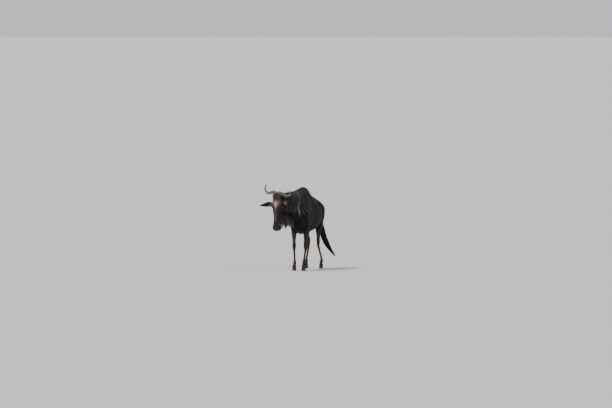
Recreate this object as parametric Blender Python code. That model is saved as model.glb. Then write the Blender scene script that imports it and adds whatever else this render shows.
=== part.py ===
"""Blue wildebeest standing with its head turned to the viewer: a life-size model in named solids.

Metres, +Z up. The animal faces -Y, so its left side is +X, and its hooves stand on z = 0.
The flesh is one smooth distance field, made of oval tubes that melt into each other. Each node
is the part of that flesh inside its own region, with a thin gap to the next node.
"""

import math
import random
from typing import NamedTuple

import bmesh
import bpy
import numpy as np
import openvdb
from mathutils import Matrix, Vector

# Driving dimensions
WITHERS = 1.27  # height of the skin over the shoulders
CROUP = 1.088
CHEST_FLOOR = 0.572
BELLY_FLOOR = 0.588
RIB_HALF = 0.203
HIP_HALF = 0.155
KNEE_HEIGHT = 0.385
HOCK_HEIGHT = 0.435
FETLOCK_HEIGHT = 0.125
CORONET_HEIGHT = 0.062  # top of the hoof at its middle
HEAD_LENGTH = 0.572  # crown to the end of the muzzle
HEAD_PLACE = Vector((-0.222, -0.585, 1.185))  # the crown, between the horns
HEAD_SLOPE = math.radians(9)  # the face leans out of the vertical by this
HEAD_TURN = math.radians(-1.5)  # to the animal's right
HEAD_TILT = math.radians(-2.5)  # its right side lower
EYE_RADIUS = 0.0195
EYE_GRID = (12, 8)  # faces round and from pole to pole
GAP = 0.0003  # left between nodes that touch
SEED = 11


class Ring(NamedTuple):
    """One oval section of a tube: its centre, its half width, and how far it reaches to front and back."""

    x: float
    y: float
    z: float
    half: float
    front: float
    back: float
    taper: float = 0.0  # above 0 the section narrows towards its front, below 0 it widens


def smooth_rows(rows, steps):
    """Rows read from the Catmull-Rom curve through the given rows, with this many steps between two."""
    rows = np.asarray(rows, float)
    padded = np.vstack([2 * rows[0] - rows[1], rows, 2 * rows[-1] - rows[-2]])
    found = []
    for i in range(len(rows) - 1):
        a, b, c, d = padded[i : i + 4]
        for t in np.arange(steps) / steps:
            curve = 2 * b + (c - a) * t + (2 * a - 5 * b + 4 * c - d) * t**2
            found.append(0.5 * (curve + (3 * b - 3 * c + d - a) * t**3))
    return np.array([*found, rows[-1]])


def unit(v):
    """Vectors along the last axis, at length 1."""
    return v / np.maximum(np.linalg.norm(v, axis=-1, keepdims=True), 1e-9)


class Loft:
    """A tube of oval sections along a smooth line, which melts into the flesh over a blend distance."""

    def __init__(self, rings, facing, blend=0.03, steps=4):
        table = smooth_rows(rings, steps)
        self.blend = blend
        self.start, self.end = table[:-1], table[1:]
        along = unit(self.end[:, :3] - self.start[:, :3])
        facing = np.asarray(facing, float)
        self.along = along
        self.front = unit(facing - along * (along @ facing)[:, None])
        reach = table[:, 3:6].max(1)[:, None]
        self.low = (table[:, :3] - reach).min(0)
        self.high = (table[:, :3] + reach).max(0)

    def near(self, low, high):
        """Whether the tube can matter in this box."""
        margin = 0.12
        return bool((self.low < high + margin).all() and (self.high > low - margin).all())

    def distance(self, p):
        """About how far each point is outside the tube, below 0 inside."""
        best = np.full(len(p), 9.0)
        for a, b, along, front in zip(self.start, self.end, self.along, self.front, strict=True):
            span = b[:3] - a[:3]
            share = np.clip((p - a[:3]) @ span / (span @ span), 0, 1)
            ring = a[3:] + share[:, None] * (b[3:] - a[3:])
            q = p - a[:3] - share[:, None] * span
            v, w = q @ front, q @ along
            length = np.sqrt((q * q).sum(1))
            u = np.sqrt(np.maximum(length**2 - v**2 - w**2, 0))
            reach = np.where(v > 0, ring[:, 1], ring[:, 2])
            half = ring[:, 0] * (1 - ring[:, 3] * np.clip(v / reach, -1, 1))
            least = np.minimum(ring[:, 0], np.minimum(ring[:, 1], ring[:, 2]))
            k = np.sqrt((u / half) ** 2 + (v / reach) ** 2 + (w / least) ** 2)
            best = np.minimum(best, np.where(k < 1e-3, -least, length * (1 - 1 / np.maximum(k, 1e-3))))
        return best


def soft_min(a, b, k):
    """The union of two fields, rounded over k where they meet."""
    h = np.maximum(k - np.abs(a - b), 0) / k
    return np.minimum(a, b) - h * h * k / 4


def joined(lofts, p, found=None):
    """The distance to all these tubes melted together."""
    low, high = p.min(0), p.max(0)
    for loft in lofts:
        if loft.near(low, high):
            d = loft.distance(p)
            found = d if found is None else soft_min(found, d, loft.blend)
    return np.full(len(p), 9.0) if found is None else found


# The trunk
def trunk_ring(y, top, bottom, half, taper):
    """A section of the barrel, from its top and bottom lines."""
    middle = bottom + 0.46 * (top - bottom)
    return Ring(0, y, middle, half, top - middle, middle - bottom, taper)


def trunk_lofts():
    """The barrel, the withers ridge, the brisket and the croup."""
    barrel = [
        trunk_ring(-0.17, 1.06, 0.70, 0.105, 0.1),
        trunk_ring(-0.12, 1.12, 0.63, 0.130, 0.2),
        trunk_ring(-0.02, 1.20, CHEST_FLOOR + 0.012, 0.152, 0.26),
        trunk_ring(0.14, 1.232, CHEST_FLOOR, 0.176, 0.22),
        trunk_ring(0.34, 1.192, CHEST_FLOOR + 0.003, RIB_HALF, 0.18),
        trunk_ring(0.54, CROUP + 0.048, BELLY_FLOOR + 0.012, RIB_HALF - 0.002, 0.14),
        trunk_ring(0.70, CROUP + 0.018, 0.655, HIP_HALF + 0.020, 0.10),
        trunk_ring(0.84, CROUP - 0.012, 0.72, HIP_HALF, 0.10),
        trunk_ring(0.91, CROUP - 0.045, 0.775, 0.115, 0.0),
    ]
    ridge = [
        Ring(0, -0.16, 1.11, 0.045, 0.075, 0.08),
        Ring(0, -0.03, WITHERS - 0.095, 0.042, 0.075, 0.08),
        Ring(0, 0.08, WITHERS - 0.078, 0.040, 0.076, 0.08),
        Ring(0, 0.16, WITHERS - 0.076, 0.040, 0.076, 0.08),
        Ring(0, 0.27, WITHERS - 0.098, 0.044, 0.070, 0.08),
        Ring(0, 0.42, WITHERS - 0.146, 0.045, 0.060, 0.08),
        Ring(0, 0.62, CROUP - 0.016, 0.050, 0.055, 0.06),
        Ring(0, 0.86, CROUP - 0.052, 0.055, 0.052, 0.06),
        Ring(0, 0.985, CROUP - 0.105, 0.035, 0.035, 0.05),
    ]
    brisket = [
        Ring(0, -0.215, 0.86, 0.050, 0.045, 0.05),
        Ring(0, -0.205, 0.74, 0.050, 0.040, 0.05),
        Ring(0, -0.12, 0.640, 0.045, 0.050, 0.05),
        Ring(0, 0.06, 0.615, 0.045, 0.045, 0.05),
    ]
    up = (0, 0, 1)
    return [Loft(barrel, up), Loft(ridge, up, 0.07), Loft(brisket, (0, -1, 0.1), 0.06)]


def shoulder_lofts(side):
    """Shoulder blade, point of the shoulder, upper arm and the muscle behind it."""
    blade = [
        Ring(side * 0.058, 0.11, 1.175, 0.038, 0.050, 0.070),
        Ring(side * 0.092, 0.03, 1.07, 0.044, 0.072, 0.085),
        Ring(side * 0.116, -0.06, 0.95, 0.046, 0.070, 0.080),
        Ring(side * 0.114, -0.145, 0.850, 0.048, 0.056, 0.060),
    ]
    arm = [
        Ring(side * 0.112, -0.140, 0.840, 0.046, 0.052, 0.052),
        Ring(side * 0.114, -0.085, 0.775, 0.048, 0.058, 0.060),
        Ring(side * 0.104, -0.030, 0.710, 0.046, 0.056, 0.056),
    ]
    triceps = [
        Ring(side * 0.126, 0.055, 0.91, 0.038, 0.065, 0.055),
        Ring(side * 0.122, 0.040, 0.80, 0.040, 0.070, 0.055),
        Ring(side * 0.104, 0.015, 0.715, 0.038, 0.050, 0.040),
    ]
    ahead = (0, -1, 0)
    return [Loft(rings, ahead, 0.045) for rings in (blade, arm, triceps)]


def haunch_lofts(side):
    """Point of the hip, rump, thigh and the muscle that hangs from the seat bone."""
    hip = [
        Ring(side * 0.080, 0.68, 1.038, 0.034, 0.034, 0.034),
        Ring(side * 0.130, 0.67, 1.002, 0.034, 0.034, 0.034),
    ]
    rump = [
        Ring(side * 0.086, 0.74, 0.970, 0.078, 0.090, 0.095),
        Ring(side * 0.088, 0.86, 0.930, 0.078, 0.090, 0.095),
        Ring(side * 0.074, 0.940, 0.895, 0.060, 0.060, 0.085),
    ]
    thigh = [
        Ring(side * 0.102, 0.845, 0.92, 0.076, 0.120, 0.110),
        Ring(side * 0.114, 0.805, 0.82, 0.072, 0.115, 0.120),
        Ring(side * 0.112, 0.770, 0.72, 0.056, 0.080, 0.110),
    ]
    seat = [
        Ring(side * 0.062, 0.960, 0.910, 0.046, 0.045, 0.045),
        Ring(side * 0.078, 0.950, 0.80, 0.050, 0.060, 0.045),
        Ring(side * 0.090, 0.922, 0.68, 0.040, 0.060, 0.036),
        Ring(side * 0.088, 0.902, 0.57, 0.024, 0.040, 0.022),
    ]
    up, ahead = (0, 0, 1), (0, -1, 0)
    return [Loft(hip, up, 0.05), Loft(rump, up, 0.05), Loft(thigh, ahead, 0.05), Loft(seat, ahead, 0.04)]


class Foreleg(NamedTuple):
    """Where one foreleg's joints stand, as (x, y)."""

    side: int
    knee: tuple[float, float]
    foot: tuple[float, float]


class Hindleg(NamedTuple):
    """Where one hind leg's joints stand, as (x, y)."""

    side: int
    hock: tuple[float, float]
    foot: tuple[float, float]


FORELEGS = {
    "left": Foreleg(1, (0.108, -0.100), (0.084, -0.125)),
    "right": Foreleg(-1, (-0.078, -0.070), (-0.074, -0.075)),
}
HINDLEGS = {
    "left": Hindleg(1, (0.062, 0.935), (0.116, 0.905)),
    "right": Hindleg(-1, (-0.082, 0.885), (-0.104, 0.830)),
}


def pastern_rings(x, y, size):
    """Fetlock, pastern and the ring under the coronet, from a foot's place."""
    return [
        Ring(x, y + 0.020, FETLOCK_HEIGHT + 0.030, 0.0200 * size, 0.024 * size, 0.026 * size),
        Ring(x, y + 0.016, FETLOCK_HEIGHT, 0.0265 * size, 0.030 * size, 0.032 * size),
        Ring(x, y + 0.005, FETLOCK_HEIGHT - 0.028, 0.0240 * size, 0.025 * size, 0.028 * size),
        Ring(x, y - 0.006, CORONET_HEIGHT + 0.010, 0.0285 * size, 0.029 * size, 0.031 * size),
        Ring(x, y - 0.013, CORONET_HEIGHT - 0.030, 0.0315 * size, 0.034 * size, 0.034 * size),
    ]


def dew_claws(x, y):
    """The two small claws behind the fetlock."""
    return [
        Loft(
            [
                Ring(x + s * 0.014, y + 0.037, FETLOCK_HEIGHT - 0.004, 0.010, 0.010, 0.010),
                Ring(x + s * 0.016, y + 0.042, FETLOCK_HEIGHT - 0.022, 0.0085, 0.0085, 0.0085),
            ],
            (0, -1, 0),
            0.008,
        )
        for s in (-1, 1)
    ]


def foreleg_lofts(leg):
    """Forearm, knee, cannon, fetlock and pastern of a foreleg."""
    s, (kx, ky), (fx, fy) = leg
    elbow = (s * 0.096, -0.020)
    forearm = [
        Ring(elbow[0], elbow[1], 0.735, 0.050, 0.058, 0.066),
        Ring(*(0.8 * np.array(elbow) + 0.2 * np.array((kx, ky))), 0.655, 0.045, 0.053, 0.062),
        Ring(*(0.5 * np.array(elbow) + 0.5 * np.array((kx, ky))), 0.550, 0.037, 0.041, 0.046),
        Ring(*(0.2 * np.array(elbow) + 0.8 * np.array((kx, ky))), 0.455, 0.0275, 0.031, 0.032),
        Ring(kx, ky, KNEE_HEIGHT + 0.022, 0.0315, 0.034, 0.031),
        Ring(kx, ky, KNEE_HEIGHT - 0.022, 0.0305, 0.032, 0.033),
        Ring(kx, ky + 0.002, KNEE_HEIGHT - 0.060, 0.0225, 0.024, 0.027),
        Ring(0.5 * (kx + fx), 0.5 * (ky + fy) + 0.010, 0.240, 0.0175, 0.021, 0.024),
        *pastern_rings(fx, fy, 1.0),
    ]
    return [Loft(forearm, (0, -1, 0), 0.035), *dew_claws(fx, fy)]


def hindleg_lofts(leg):
    """Gaskin, hock, cannon, fetlock and pastern of a hind leg."""
    s, (hx, hy), (fx, fy) = leg
    stifle = np.array((s * 0.108, hy - 0.155, 0.70))
    hock = np.array((hx, hy, HOCK_HEIGHT))
    along = hock - stifle
    shank = [
        Ring(*stifle, 0.056, 0.070, 0.100),
        Ring(*(stifle + 0.35 * along), 0.050, 0.056, 0.080),
        Ring(*(stifle + 0.70 * along), 0.033, 0.037, 0.048),
        Ring(*(hock + (0, -0.004, 0.022)), 0.0285, 0.034, 0.042),
        Ring(*(hock + (0, 0.004, -0.030)), 0.0285, 0.031, 0.036),
        Ring(hx, hy + 0.008, HOCK_HEIGHT - 0.085, 0.0220, 0.025, 0.028),
        Ring(0.5 * (hx + fx), 0.5 * (hy + fy) + 0.020, 0.250, 0.0180, 0.022, 0.025),
        *pastern_rings(fx, fy, 0.97),
    ]
    heel = hock + (0, 0.046, 0.052)
    tendon = [
        Ring(*(stifle + 0.40 * along + (0, 0.075, 0.0)), 0.020, 0.024, 0.022),
        Ring(*(0.5 * (stifle + 0.55 * along + (0, 0.075, 0)) + 0.5 * heel), 0.0125, 0.014, 0.012),
        Ring(*heel, 0.0155, 0.018, 0.014),
        Ring(*(heel + (0, -0.012, -0.040)), 0.0165, 0.020, 0.014),
    ]
    ahead = (0, -1, 0)
    return [Loft(shank, ahead, 0.04), Loft(tendon, ahead, 0.022), *dew_claws(fx, fy)]


def neck_lofts():
    """The neck, bent to the animal's right, with the low root of the mane along its crest."""
    neck = [
        Ring(0.000, 0.02, 0.985, 0.112, 0.200, 0.220, 0.25),
        Ring(-0.028, -0.14, 1.010, 0.096, 0.192, 0.200, 0.25),
        Ring(-0.078, -0.29, 1.025, 0.080, 0.168, 0.165, 0.20),
        Ring(-0.142, -0.42, 1.035, 0.070, 0.145, 0.145, 0.15),
        Ring(-0.200, -0.520, 1.050, 0.066, 0.122, 0.130, 0.05),
    ]
    crest = [
        Ring(0.000, 0.04, 1.195, 0.024, 0.060, 0.05),
        Ring(-0.024, -0.14, 1.180, 0.022, 0.046, 0.05),
        Ring(-0.076, -0.29, 1.170, 0.020, 0.040, 0.05),
        Ring(-0.142, -0.42, 1.160, 0.020, 0.034, 0.05),
        Ring(-0.198, -0.510, 1.148, 0.020, 0.026, 0.05),
    ]
    up = (0, 0, 1)
    return [Loft(neck, up, 0.06), Loft(crest, up, 0.03)]


# The head, in its own axes: s to the animal's left, a down the face, n out of the face
def head_axes():
    """The matrix from head axes to the model's."""
    slope = HEAD_SLOPE
    axes = Matrix(
        (
            (1, 0, 0),
            (0, -math.sin(slope), -math.cos(slope)),
            (0, -math.cos(slope), math.sin(slope)),
        )
    )
    turn = Matrix.Rotation(HEAD_TURN, 3, "Z") @ Matrix.Rotation(HEAD_TILT, 3, "Y")
    return np.array(turn @ axes.transposed())


HEAD_AXES = head_axes()


def from_head(points):
    """Points in head axes, placed in the model."""
    return np.asarray(points, float) @ HEAD_AXES.T + np.array(HEAD_PLACE)


def to_head(points):
    """Points of the model, in head axes."""
    return (points - np.array(HEAD_PLACE)) @ HEAD_AXES


def face_ring(a, front, back, half, taper):
    """A section across the face, from its front line and its jaw line."""
    middle = 0.5 * (front + back)
    return Ring(0, a, middle, half, front - middle, middle - back, taper)


EYE = np.array((0.0675, 0.172, 0.016))
NOSTRIL = np.array((0.044, HEAD_LENGTH - 0.060, 0.033))


def head_middle_lofts():
    """Skull, muzzle and jaw, which cross the middle of the head."""
    end = HEAD_LENGTH
    skull = [
        face_ring(0.012, 0.040, -0.055, 0.052, 0.0),
        face_ring(0.060, 0.057, -0.085, 0.067, -0.05),
        face_ring(0.120, 0.064, -0.105, 0.073, -0.12),
        face_ring(0.185, 0.064, -0.105, 0.070, -0.22),
        face_ring(0.255, 0.063, -0.095, 0.061, -0.20),
        face_ring(0.335, 0.061, -0.074, 0.054, -0.05),
        face_ring(0.410, 0.057, -0.060, 0.054, 0.0),
        face_ring(end - 0.098, 0.050, -0.050, 0.061, 0.05),
        face_ring(end - 0.060, 0.040, -0.045, 0.063, 0.10),
    ]
    jaw = [
        Ring(0, 0.165, -0.105, 0.046, 0.040, 0.034),
        Ring(0, 0.250, -0.102, 0.040, 0.035, 0.028),
        Ring(0, 0.360, -0.070, 0.034, 0.030, 0.022),
        Ring(0, 0.460, -0.044, 0.038, 0.025, 0.020),
        Ring(0, end - 0.045, -0.036, 0.040, 0.022, 0.020),
    ]
    out = (0, 0, 1)
    return [Loft(skull, out), Loft(jaw, out, 0.03)]


def head_side_lofts():
    """Brow, cheek, cheekbone, nostril wing and lips of one side, to be mirrored."""
    x, a, n = EYE
    brow = [
        Ring(x - 0.010, a - 0.036, n + 0.014, 0.016, 0.016, 0.016),
        Ring(x - 0.002, a - 0.006, n + 0.012, 0.020, 0.020, 0.020),
        Ring(x - 0.008, a + 0.028, n + 0.010, 0.014, 0.014, 0.014),
    ]
    cheekbone = [
        Ring(x - 0.012, a + 0.030, n - 0.020, 0.014, 0.014, 0.014),
        Ring(x - 0.022, a + 0.110, n - 0.014, 0.010, 0.012, 0.012),
    ]
    cheek = [
        Ring(0.036, 0.150, -0.075, 0.028, 0.040, 0.036),
        Ring(0.036, 0.225, -0.070, 0.024, 0.038, 0.034),
    ]
    poll = [
        Ring(0.022, 0.002, 0.012, 0.030, 0.026, 0.030),
        Ring(0.046, 0.030, 0.006, 0.026, 0.026, 0.030),
    ]
    wing = [
        Ring(NOSTRIL[0] - 0.002, NOSTRIL[1] - 0.034, NOSTRIL[2] - 0.010, 0.014, 0.014, 0.015),
        Ring(NOSTRIL[0] + 0.004, NOSTRIL[1] - 0.004, NOSTRIL[2] - 0.014, 0.019, 0.018, 0.018),
        Ring(NOSTRIL[0] + 0.004, NOSTRIL[1] + 0.022, NOSTRIL[2] - 0.022, 0.017, 0.015, 0.015),
    ]
    upper_lip = [
        Ring(-0.006, HEAD_LENGTH - 0.026, 0.006, 0.024, 0.026, 0.022),
        Ring(0.032, HEAD_LENGTH - 0.032, 0.002, 0.024, 0.026, 0.022),
        Ring(0.048, HEAD_LENGTH - 0.056, -0.004, 0.020, 0.022, 0.018),
    ]
    chin = [
        Ring(-0.006, HEAD_LENGTH - 0.034, -0.032, 0.020, 0.020, 0.020),
        Ring(0.028, HEAD_LENGTH - 0.044, -0.032, 0.020, 0.020, 0.020),
    ]
    out = (0, 0, 1)
    made = [Loft(rings, out, 0.02) for rings in (brow, cheekbone, wing, upper_lip, chin)]
    return [*made, Loft(cheek, out, 0.04), Loft(poll, out, 0.03)]


TRUNK = [*trunk_lofts()]
LIMBS = []
for forward, rear in zip(FORELEGS.values(), HINDLEGS.values(), strict=True):
    LIMBS += [*shoulder_lofts(forward.side), *foreleg_lofts(forward)]
    LIMBS += [*haunch_lofts(rear.side), *hindleg_lofts(rear)]
NECK = neck_lofts()
HEAD_MIDDLE, HEAD_SIDE = head_middle_lofts(), head_side_lofts()
DOCK = [
    Ring(0.000, 0.945, 1.000, 0.034, 0.034, 0.034),
    Ring(0.008, 1.025, 0.930, 0.027, 0.027, 0.027),
    Ring(0.030, 1.068, 0.820, 0.022, 0.022, 0.022),
    Ring(0.058, 1.095, 0.700, 0.018, 0.018, 0.018),
    Ring(0.085, 1.110, 0.590, 0.013, 0.013, 0.013),
    Ring(0.105, 1.125, 0.490, 0.007, 0.007, 0.007),
]
TASSEL_END = [(0.145, 1.150, 0.385), (0.200, 1.175, 0.285), (0.283, 1.200, 0.165)]
TAIL_CORE = [
    Ring(0.050, 1.088, 0.740, 0.016, 0.016, 0.016),
    Ring(0.085, 1.110, 0.590, 0.026, 0.030, 0.030),
    Ring(0.105, 1.125, 0.490, 0.026, 0.034, 0.034),
    Ring(0.140, 1.147, 0.395, 0.014, 0.018, 0.018),
]
TAIL = [Loft(DOCK, (1, 0, 0), 0.03), Loft(TAIL_CORE, (1, 0, 0), 0.02)]

# The dense roots of the mane and beard, half as long as their locks
MANE_CORE = [
    Ring(0.000, 0.05, 1.165, 0.038, 0.095, 0.060),
    Ring(-0.024, -0.14, 1.140, 0.052, 0.096, 0.075),
    Ring(-0.076, -0.29, 1.125, 0.054, 0.096, 0.070),
    Ring(-0.138, -0.42, 1.115, 0.050, 0.088, 0.060),
    Ring(-0.186, -0.490, 1.110, 0.044, 0.068, 0.050),
]
BEARD_CORE = [
    Ring(-0.192, -0.480, 0.945, 0.022, 0.05, 0.055),
    Ring(-0.142, -0.400, 0.900, 0.024, 0.06, 0.085),
    Ring(-0.092, -0.310, 0.860, 0.024, 0.06, 0.100),
    Ring(-0.056, -0.240, 0.815, 0.024, 0.06, 0.080),
]
HAIR_CORES = [Loft(MANE_CORE, (0, 0, 1), 0.03), Loft(BEARD_CORE, (0, 0, 1), 0.04)]


def head_distance(p):
    """The distance to the head alone."""
    q = to_head(p)
    found = joined(HEAD_MIDDLE, q)
    q[:, 0] = np.abs(q[:, 0])
    return joined(HEAD_SIDE, q, found)


def flesh(p):
    """About how far each point is outside the animal's coat, below 0 inside."""
    found = joined([*TRUNK, *NECK, *LIMBS, TAIL[0]], p)
    box = from_head([(s, a, n) for s in (-0.2, 0.2) for a in (-0.2, 0.7) for n in (-0.25, 0.2)])
    if (p.max(0) > box.min(0)).all() and (p.min(0) < box.max(0)).all():
        found = soft_min(found, head_distance(p), 0.035)
    return found


def slope_of(field, p, step=0.004):
    """Unit vectors out of the surface of a field."""
    shifts = np.eye(3) * step
    return unit(np.stack([field(p + s) - field(p - s) for s in shifts], axis=1))


def onto_surface(field, p, level=0.0):
    """Points moved along the field's slope to where it has this value."""
    for _ in range(5):
        p = p - slope_of(field, p) * (field(p) - level)[:, None]
    return p


# Meshes
def new_object(name, points, faces):
    """An object of these points and faces, with its faces turned outwards."""
    mesh = bpy.data.meshes.new(name)
    mesh.from_pydata([tuple(map(float, p)) for p in points], [], [tuple(map(int, f)) for f in faces])
    edited = bmesh.new()
    edited.from_mesh(mesh)
    bmesh.ops.recalc_face_normals(edited, faces=edited.faces)
    edited.to_mesh(mesh)
    edited.free()
    made = bpy.data.objects.new(name, mesh)
    bpy.context.scene.collection.objects.link(made)
    return made


def apply_modifiers(obj):
    """Keeps what the modifiers make as the object's own mesh."""
    graph = bpy.context.evaluated_depsgraph_get()
    mesh = bpy.data.meshes.new_from_object(obj.evaluated_get(graph))
    obj.modifiers.clear()
    obj.data = mesh


def remove(*objects):
    """Deletes helpers that have done their work."""
    for obj in objects:
        bpy.data.objects.remove(obj)


def keep_largest(obj):
    """Drops every closed surface of the mesh but the largest."""
    edited = bmesh.new()
    edited.from_mesh(obj.data)
    left = set(edited.verts)
    groups = []
    while left:
        group, edge = set(), [left.pop()]
        while edge:
            vert = edge.pop()
            group.add(vert)
            near = {e.other_vert(vert) for e in vert.link_edges} & left
            left -= near
            edge += near
        groups.append(group)
    groups.sort(key=len, reverse=True)
    scraps = [v for group in groups[1:] for v in group]
    bmesh.ops.delete(edited, geom=scraps, context="VERTS")
    edited.to_mesh(obj.data)
    edited.free()


def sampled(field, axes, cell, block=8):
    """The field on a grid, worked out in full only in blocks that its surface may pass through."""
    counts = [len(axis) for axis in axes]
    values = np.full(counts, cell)
    starts = [range(0, count, block) for count in counts]
    reach = 2.0 * cell * block * math.sqrt(3) / 2
    for i in starts[0]:
        for j in starts[1]:
            for k in starts[2]:
                parts = [axis[n : n + block] for axis, n in zip(axes, (i, j, k), strict=True)]
                shape = [len(part) for part in parts]
                middle = np.array([[part.mean() for part in parts]])
                rough = field(middle)[0]
                if abs(rough) > reach:
                    found = np.full(shape, rough)
                else:
                    points = np.stack(np.meshgrid(*parts, indexing="ij"), -1).reshape(-1, 3)
                    found = field(points).reshape(shape)
                values[i : i + shape[0], j : j + shape[1], k : k + shape[2]] = found
    return values


def surface(name, field, low, high, cell, triangles):
    """The field's surface in a box as a closed mesh, thinned to about this many triangles."""
    axes = [np.arange(lo, hi + cell, cell) for lo, hi in zip(low, high, strict=True)]
    values = sampled(field, axes, cell)
    for axis in range(3):
        edge = [slice(None)] * 3
        edge[axis] = [0, -1]
        values[tuple(edge)] = np.maximum(values[tuple(edge)], cell)
    grid = openvdb.FloatGrid(cell)
    grid.copyFromArray(np.clip(values, -4 * cell, 4 * cell).astype(np.float32))
    found, _, quads = grid.convertToPolygons(isovalue=0.0, adaptivity=0.0)
    made = new_object(name, found * cell + np.array(low), quads)
    keep_largest(made)
    thin = made.modifiers.new("thin", "DECIMATE")
    thin.ratio = min(1.0, triangles / (2 * len(made.data.polygons)))
    apply_modifiers(made)
    return made


def region(planes, size=3.0):
    """A closed convex block: a big cube cut back to the inner side of each (point, outward normal)."""
    edited = bmesh.new()
    bmesh.ops.create_cube(edited, size=2 * size)
    for point, out in planes:
        geometry = [*edited.verts, *edited.edges, *edited.faces]
        cut = bmesh.ops.bisect_plane(
            edited, geom=geometry, plane_co=point, plane_no=out, clear_outer=True, dist=1e-7
        )
        rim = [g for g in cut["geom_cut"] if isinstance(g, bmesh.types.BMEdge)]
        bmesh.ops.contextual_create(edited, geom=rim)
    bmesh.ops.recalc_face_normals(edited, faces=edited.faces)
    mesh = bpy.data.meshes.new("region")
    edited.to_mesh(mesh)
    edited.free()
    made = bpy.data.objects.new("region", mesh)
    bpy.context.scene.collection.objects.link(made)
    return made


def combine(obj, operation, others, solver="MANIFOLD"):
    """Applies one Boolean with each of the other objects, and removes them."""
    for other in others:
        step = obj.modifiers.new("combine", "BOOLEAN")
        step.operation = operation
        step.solver = solver
        step.object = other
        apply_modifiers(obj)
    remove(*others)


def fuse(obj, pieces):
    """Joins the pieces to the object in one union, and keeps one closed body."""
    group = bpy.data.collections.new("pieces")
    for piece in pieces:
        group.objects.link(piece)
    step = obj.modifiers.new("fuse", "BOOLEAN")
    step.operation = "UNION"
    step.solver = "MANIFOLD"
    step.operand_type = "COLLECTION"
    step.collection = group
    apply_modifiers(obj)
    remove(*pieces)
    bpy.data.collections.remove(group)
    keep_largest(obj)


def swollen(obj, by):
    """A copy of the object with every point moved out by a distance."""
    made = bpy.data.objects.new("swollen", obj.data.copy())
    bpy.context.scene.collection.objects.link(made)
    step = made.modifiers.new("swell", "DISPLACE")
    step.strength = by
    step.mid_level = 0.0
    apply_modifiers(made)
    return made


def clear_of(obj, *others, gap=GAP):
    """Cuts the object back from its neighbours by the gap."""
    combine(obj, "DIFFERENCE", [swollen(other, gap) for other in others])
    keep_largest(obj)


def swept(name, rings, sides=8, wide=1.0):
    """A closed tube through rings of (x, y, z, radius), ending in fans."""
    rings = np.asarray(rings, float)
    line, radius = rings[:, :3], rings[:, 3]
    along = unit(np.gradient(line, axis=0))
    side = unit(np.cross(along, unit(line[-1] - line[0]) + (0.01, 0.02, 0.05)))
    for i in range(1, len(line)):
        side[i] = unit(side[i - 1] - along[i] * (side[i - 1] @ along[i]))
    up = np.cross(along, side)
    turn = np.arange(sides) / sides * 2 * np.pi
    points = [
        line[i] + radius[i] * (math.cos(t) * wide * side[i] + math.sin(t) * up[i])
        for i in range(len(line))
        for t in turn
    ]
    points += [line[0], line[-1]]
    faces = []
    for i in range(len(line) - 1):
        for j in range(sides):
            a, b = i * sides + j, i * sides + (j + 1) % sides
            faces += [(a, b, b + sides, a + sides)]
    first, last = len(points) - 2, (len(line) - 1) * sides
    faces += [((j + 1) % sides, j, first) for j in range(sides)]
    faces += [(last + j, last + (j + 1) % sides, first + 1) for j in range(sides)]
    return new_object(name, points, faces)


def head_tube(name, rings, side, sides=8, steps=2):
    """A tube given in head axes for the left side, placed on either side."""
    rows = smooth_rows(rings, steps)
    rows[:, 0] *= side
    rows[:, :3] = from_head(rows[:, :3])
    return swept(name, rows, sides)


def ball(name, centre, radius, segments=16, rings=10):
    """A sphere."""
    mesh = bpy.data.meshes.new(name)
    edited = bmesh.new()
    bmesh.ops.create_uvsphere(edited, u_segments=segments, v_segments=rings, radius=radius)
    edited.to_mesh(mesh)
    edited.free()
    mesh.transform(Matrix.Translation(centre))
    made = bpy.data.objects.new(name, mesh)
    bpy.context.scene.collection.objects.link(made)
    return made


# Locks of hair
class Lock(NamedTuple):
    """A flat, tapered lock: its line from root to tip, which way its face looks, its width and thickness."""

    line: np.ndarray
    faces: np.ndarray
    width: float
    thick: float


def lock_object(lock):
    """The closed mesh of a lock, with a diamond section that runs out to a point."""
    line = lock.line
    along = unit(np.gradient(line, axis=0))
    side = unit(np.cross(along, lock.faces))
    out = np.cross(side, along)
    last = len(line) - 1
    points = []
    for i in range(last):
        t = i / last
        wide = lock.width / 2 * min(1.0, 0.62 + 1.2 * t) * (1 - 0.62 * t**2.2)
        deep = lock.thick / 2 * (1 - 0.55 * t**2)
        points += [
            line[i] + side[i] * wide,
            line[i] + out[i] * deep,
            line[i] - side[i] * wide,
            line[i] - out[i] * deep,
        ]
    points.append(line[last])
    faces = [(0, 1, 2), (0, 2, 3)]
    for i in range(last - 1):
        for j in range(4):
            a, b = 4 * i + j, 4 * i + (j + 1) % 4
            faces += [(a, a + 4, b), (b, a + 4, b + 4)]
    first = 4 * (last - 1)
    faces += [(first + j, 4 * last, first + (j + 1) % 4) for j in range(4)]
    return new_object("lock", points, faces)


def hanging_locks(field, roots, lies, lengths, widths, thick, clear, steps=4, droop=1.0, sink=0.012):
    """Locks that leave each root along its lie, then hang, and stay clear of the field's surface."""
    roots, lies = np.asarray(roots, float), unit(np.asarray(lies, float))
    lengths = np.asarray(lengths, float)
    out = slope_of(field, roots)
    place = roots - out * sink
    lines, faces = [place], [out]
    for i in range(1, steps + 1):
        share = min(1.0, 1.3 * (i / steps) ** droop)
        way = unit(lies * (1 - share) + np.array((0, 0, -1)) * share)
        place = place + way * (lengths / steps)[:, None]
        out = slope_of(field, place)
        place = place + out * np.maximum(clear - field(place), 0)[:, None]
        lines.append(place)
        faces.append(unit(out * (1, 1, 0.35)))
    lines, faces = np.stack(lines, 1), np.stack(faces, 1)
    return [Lock(*row, thick) for row in zip(lines, faces, widths, strict=True)]


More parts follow.
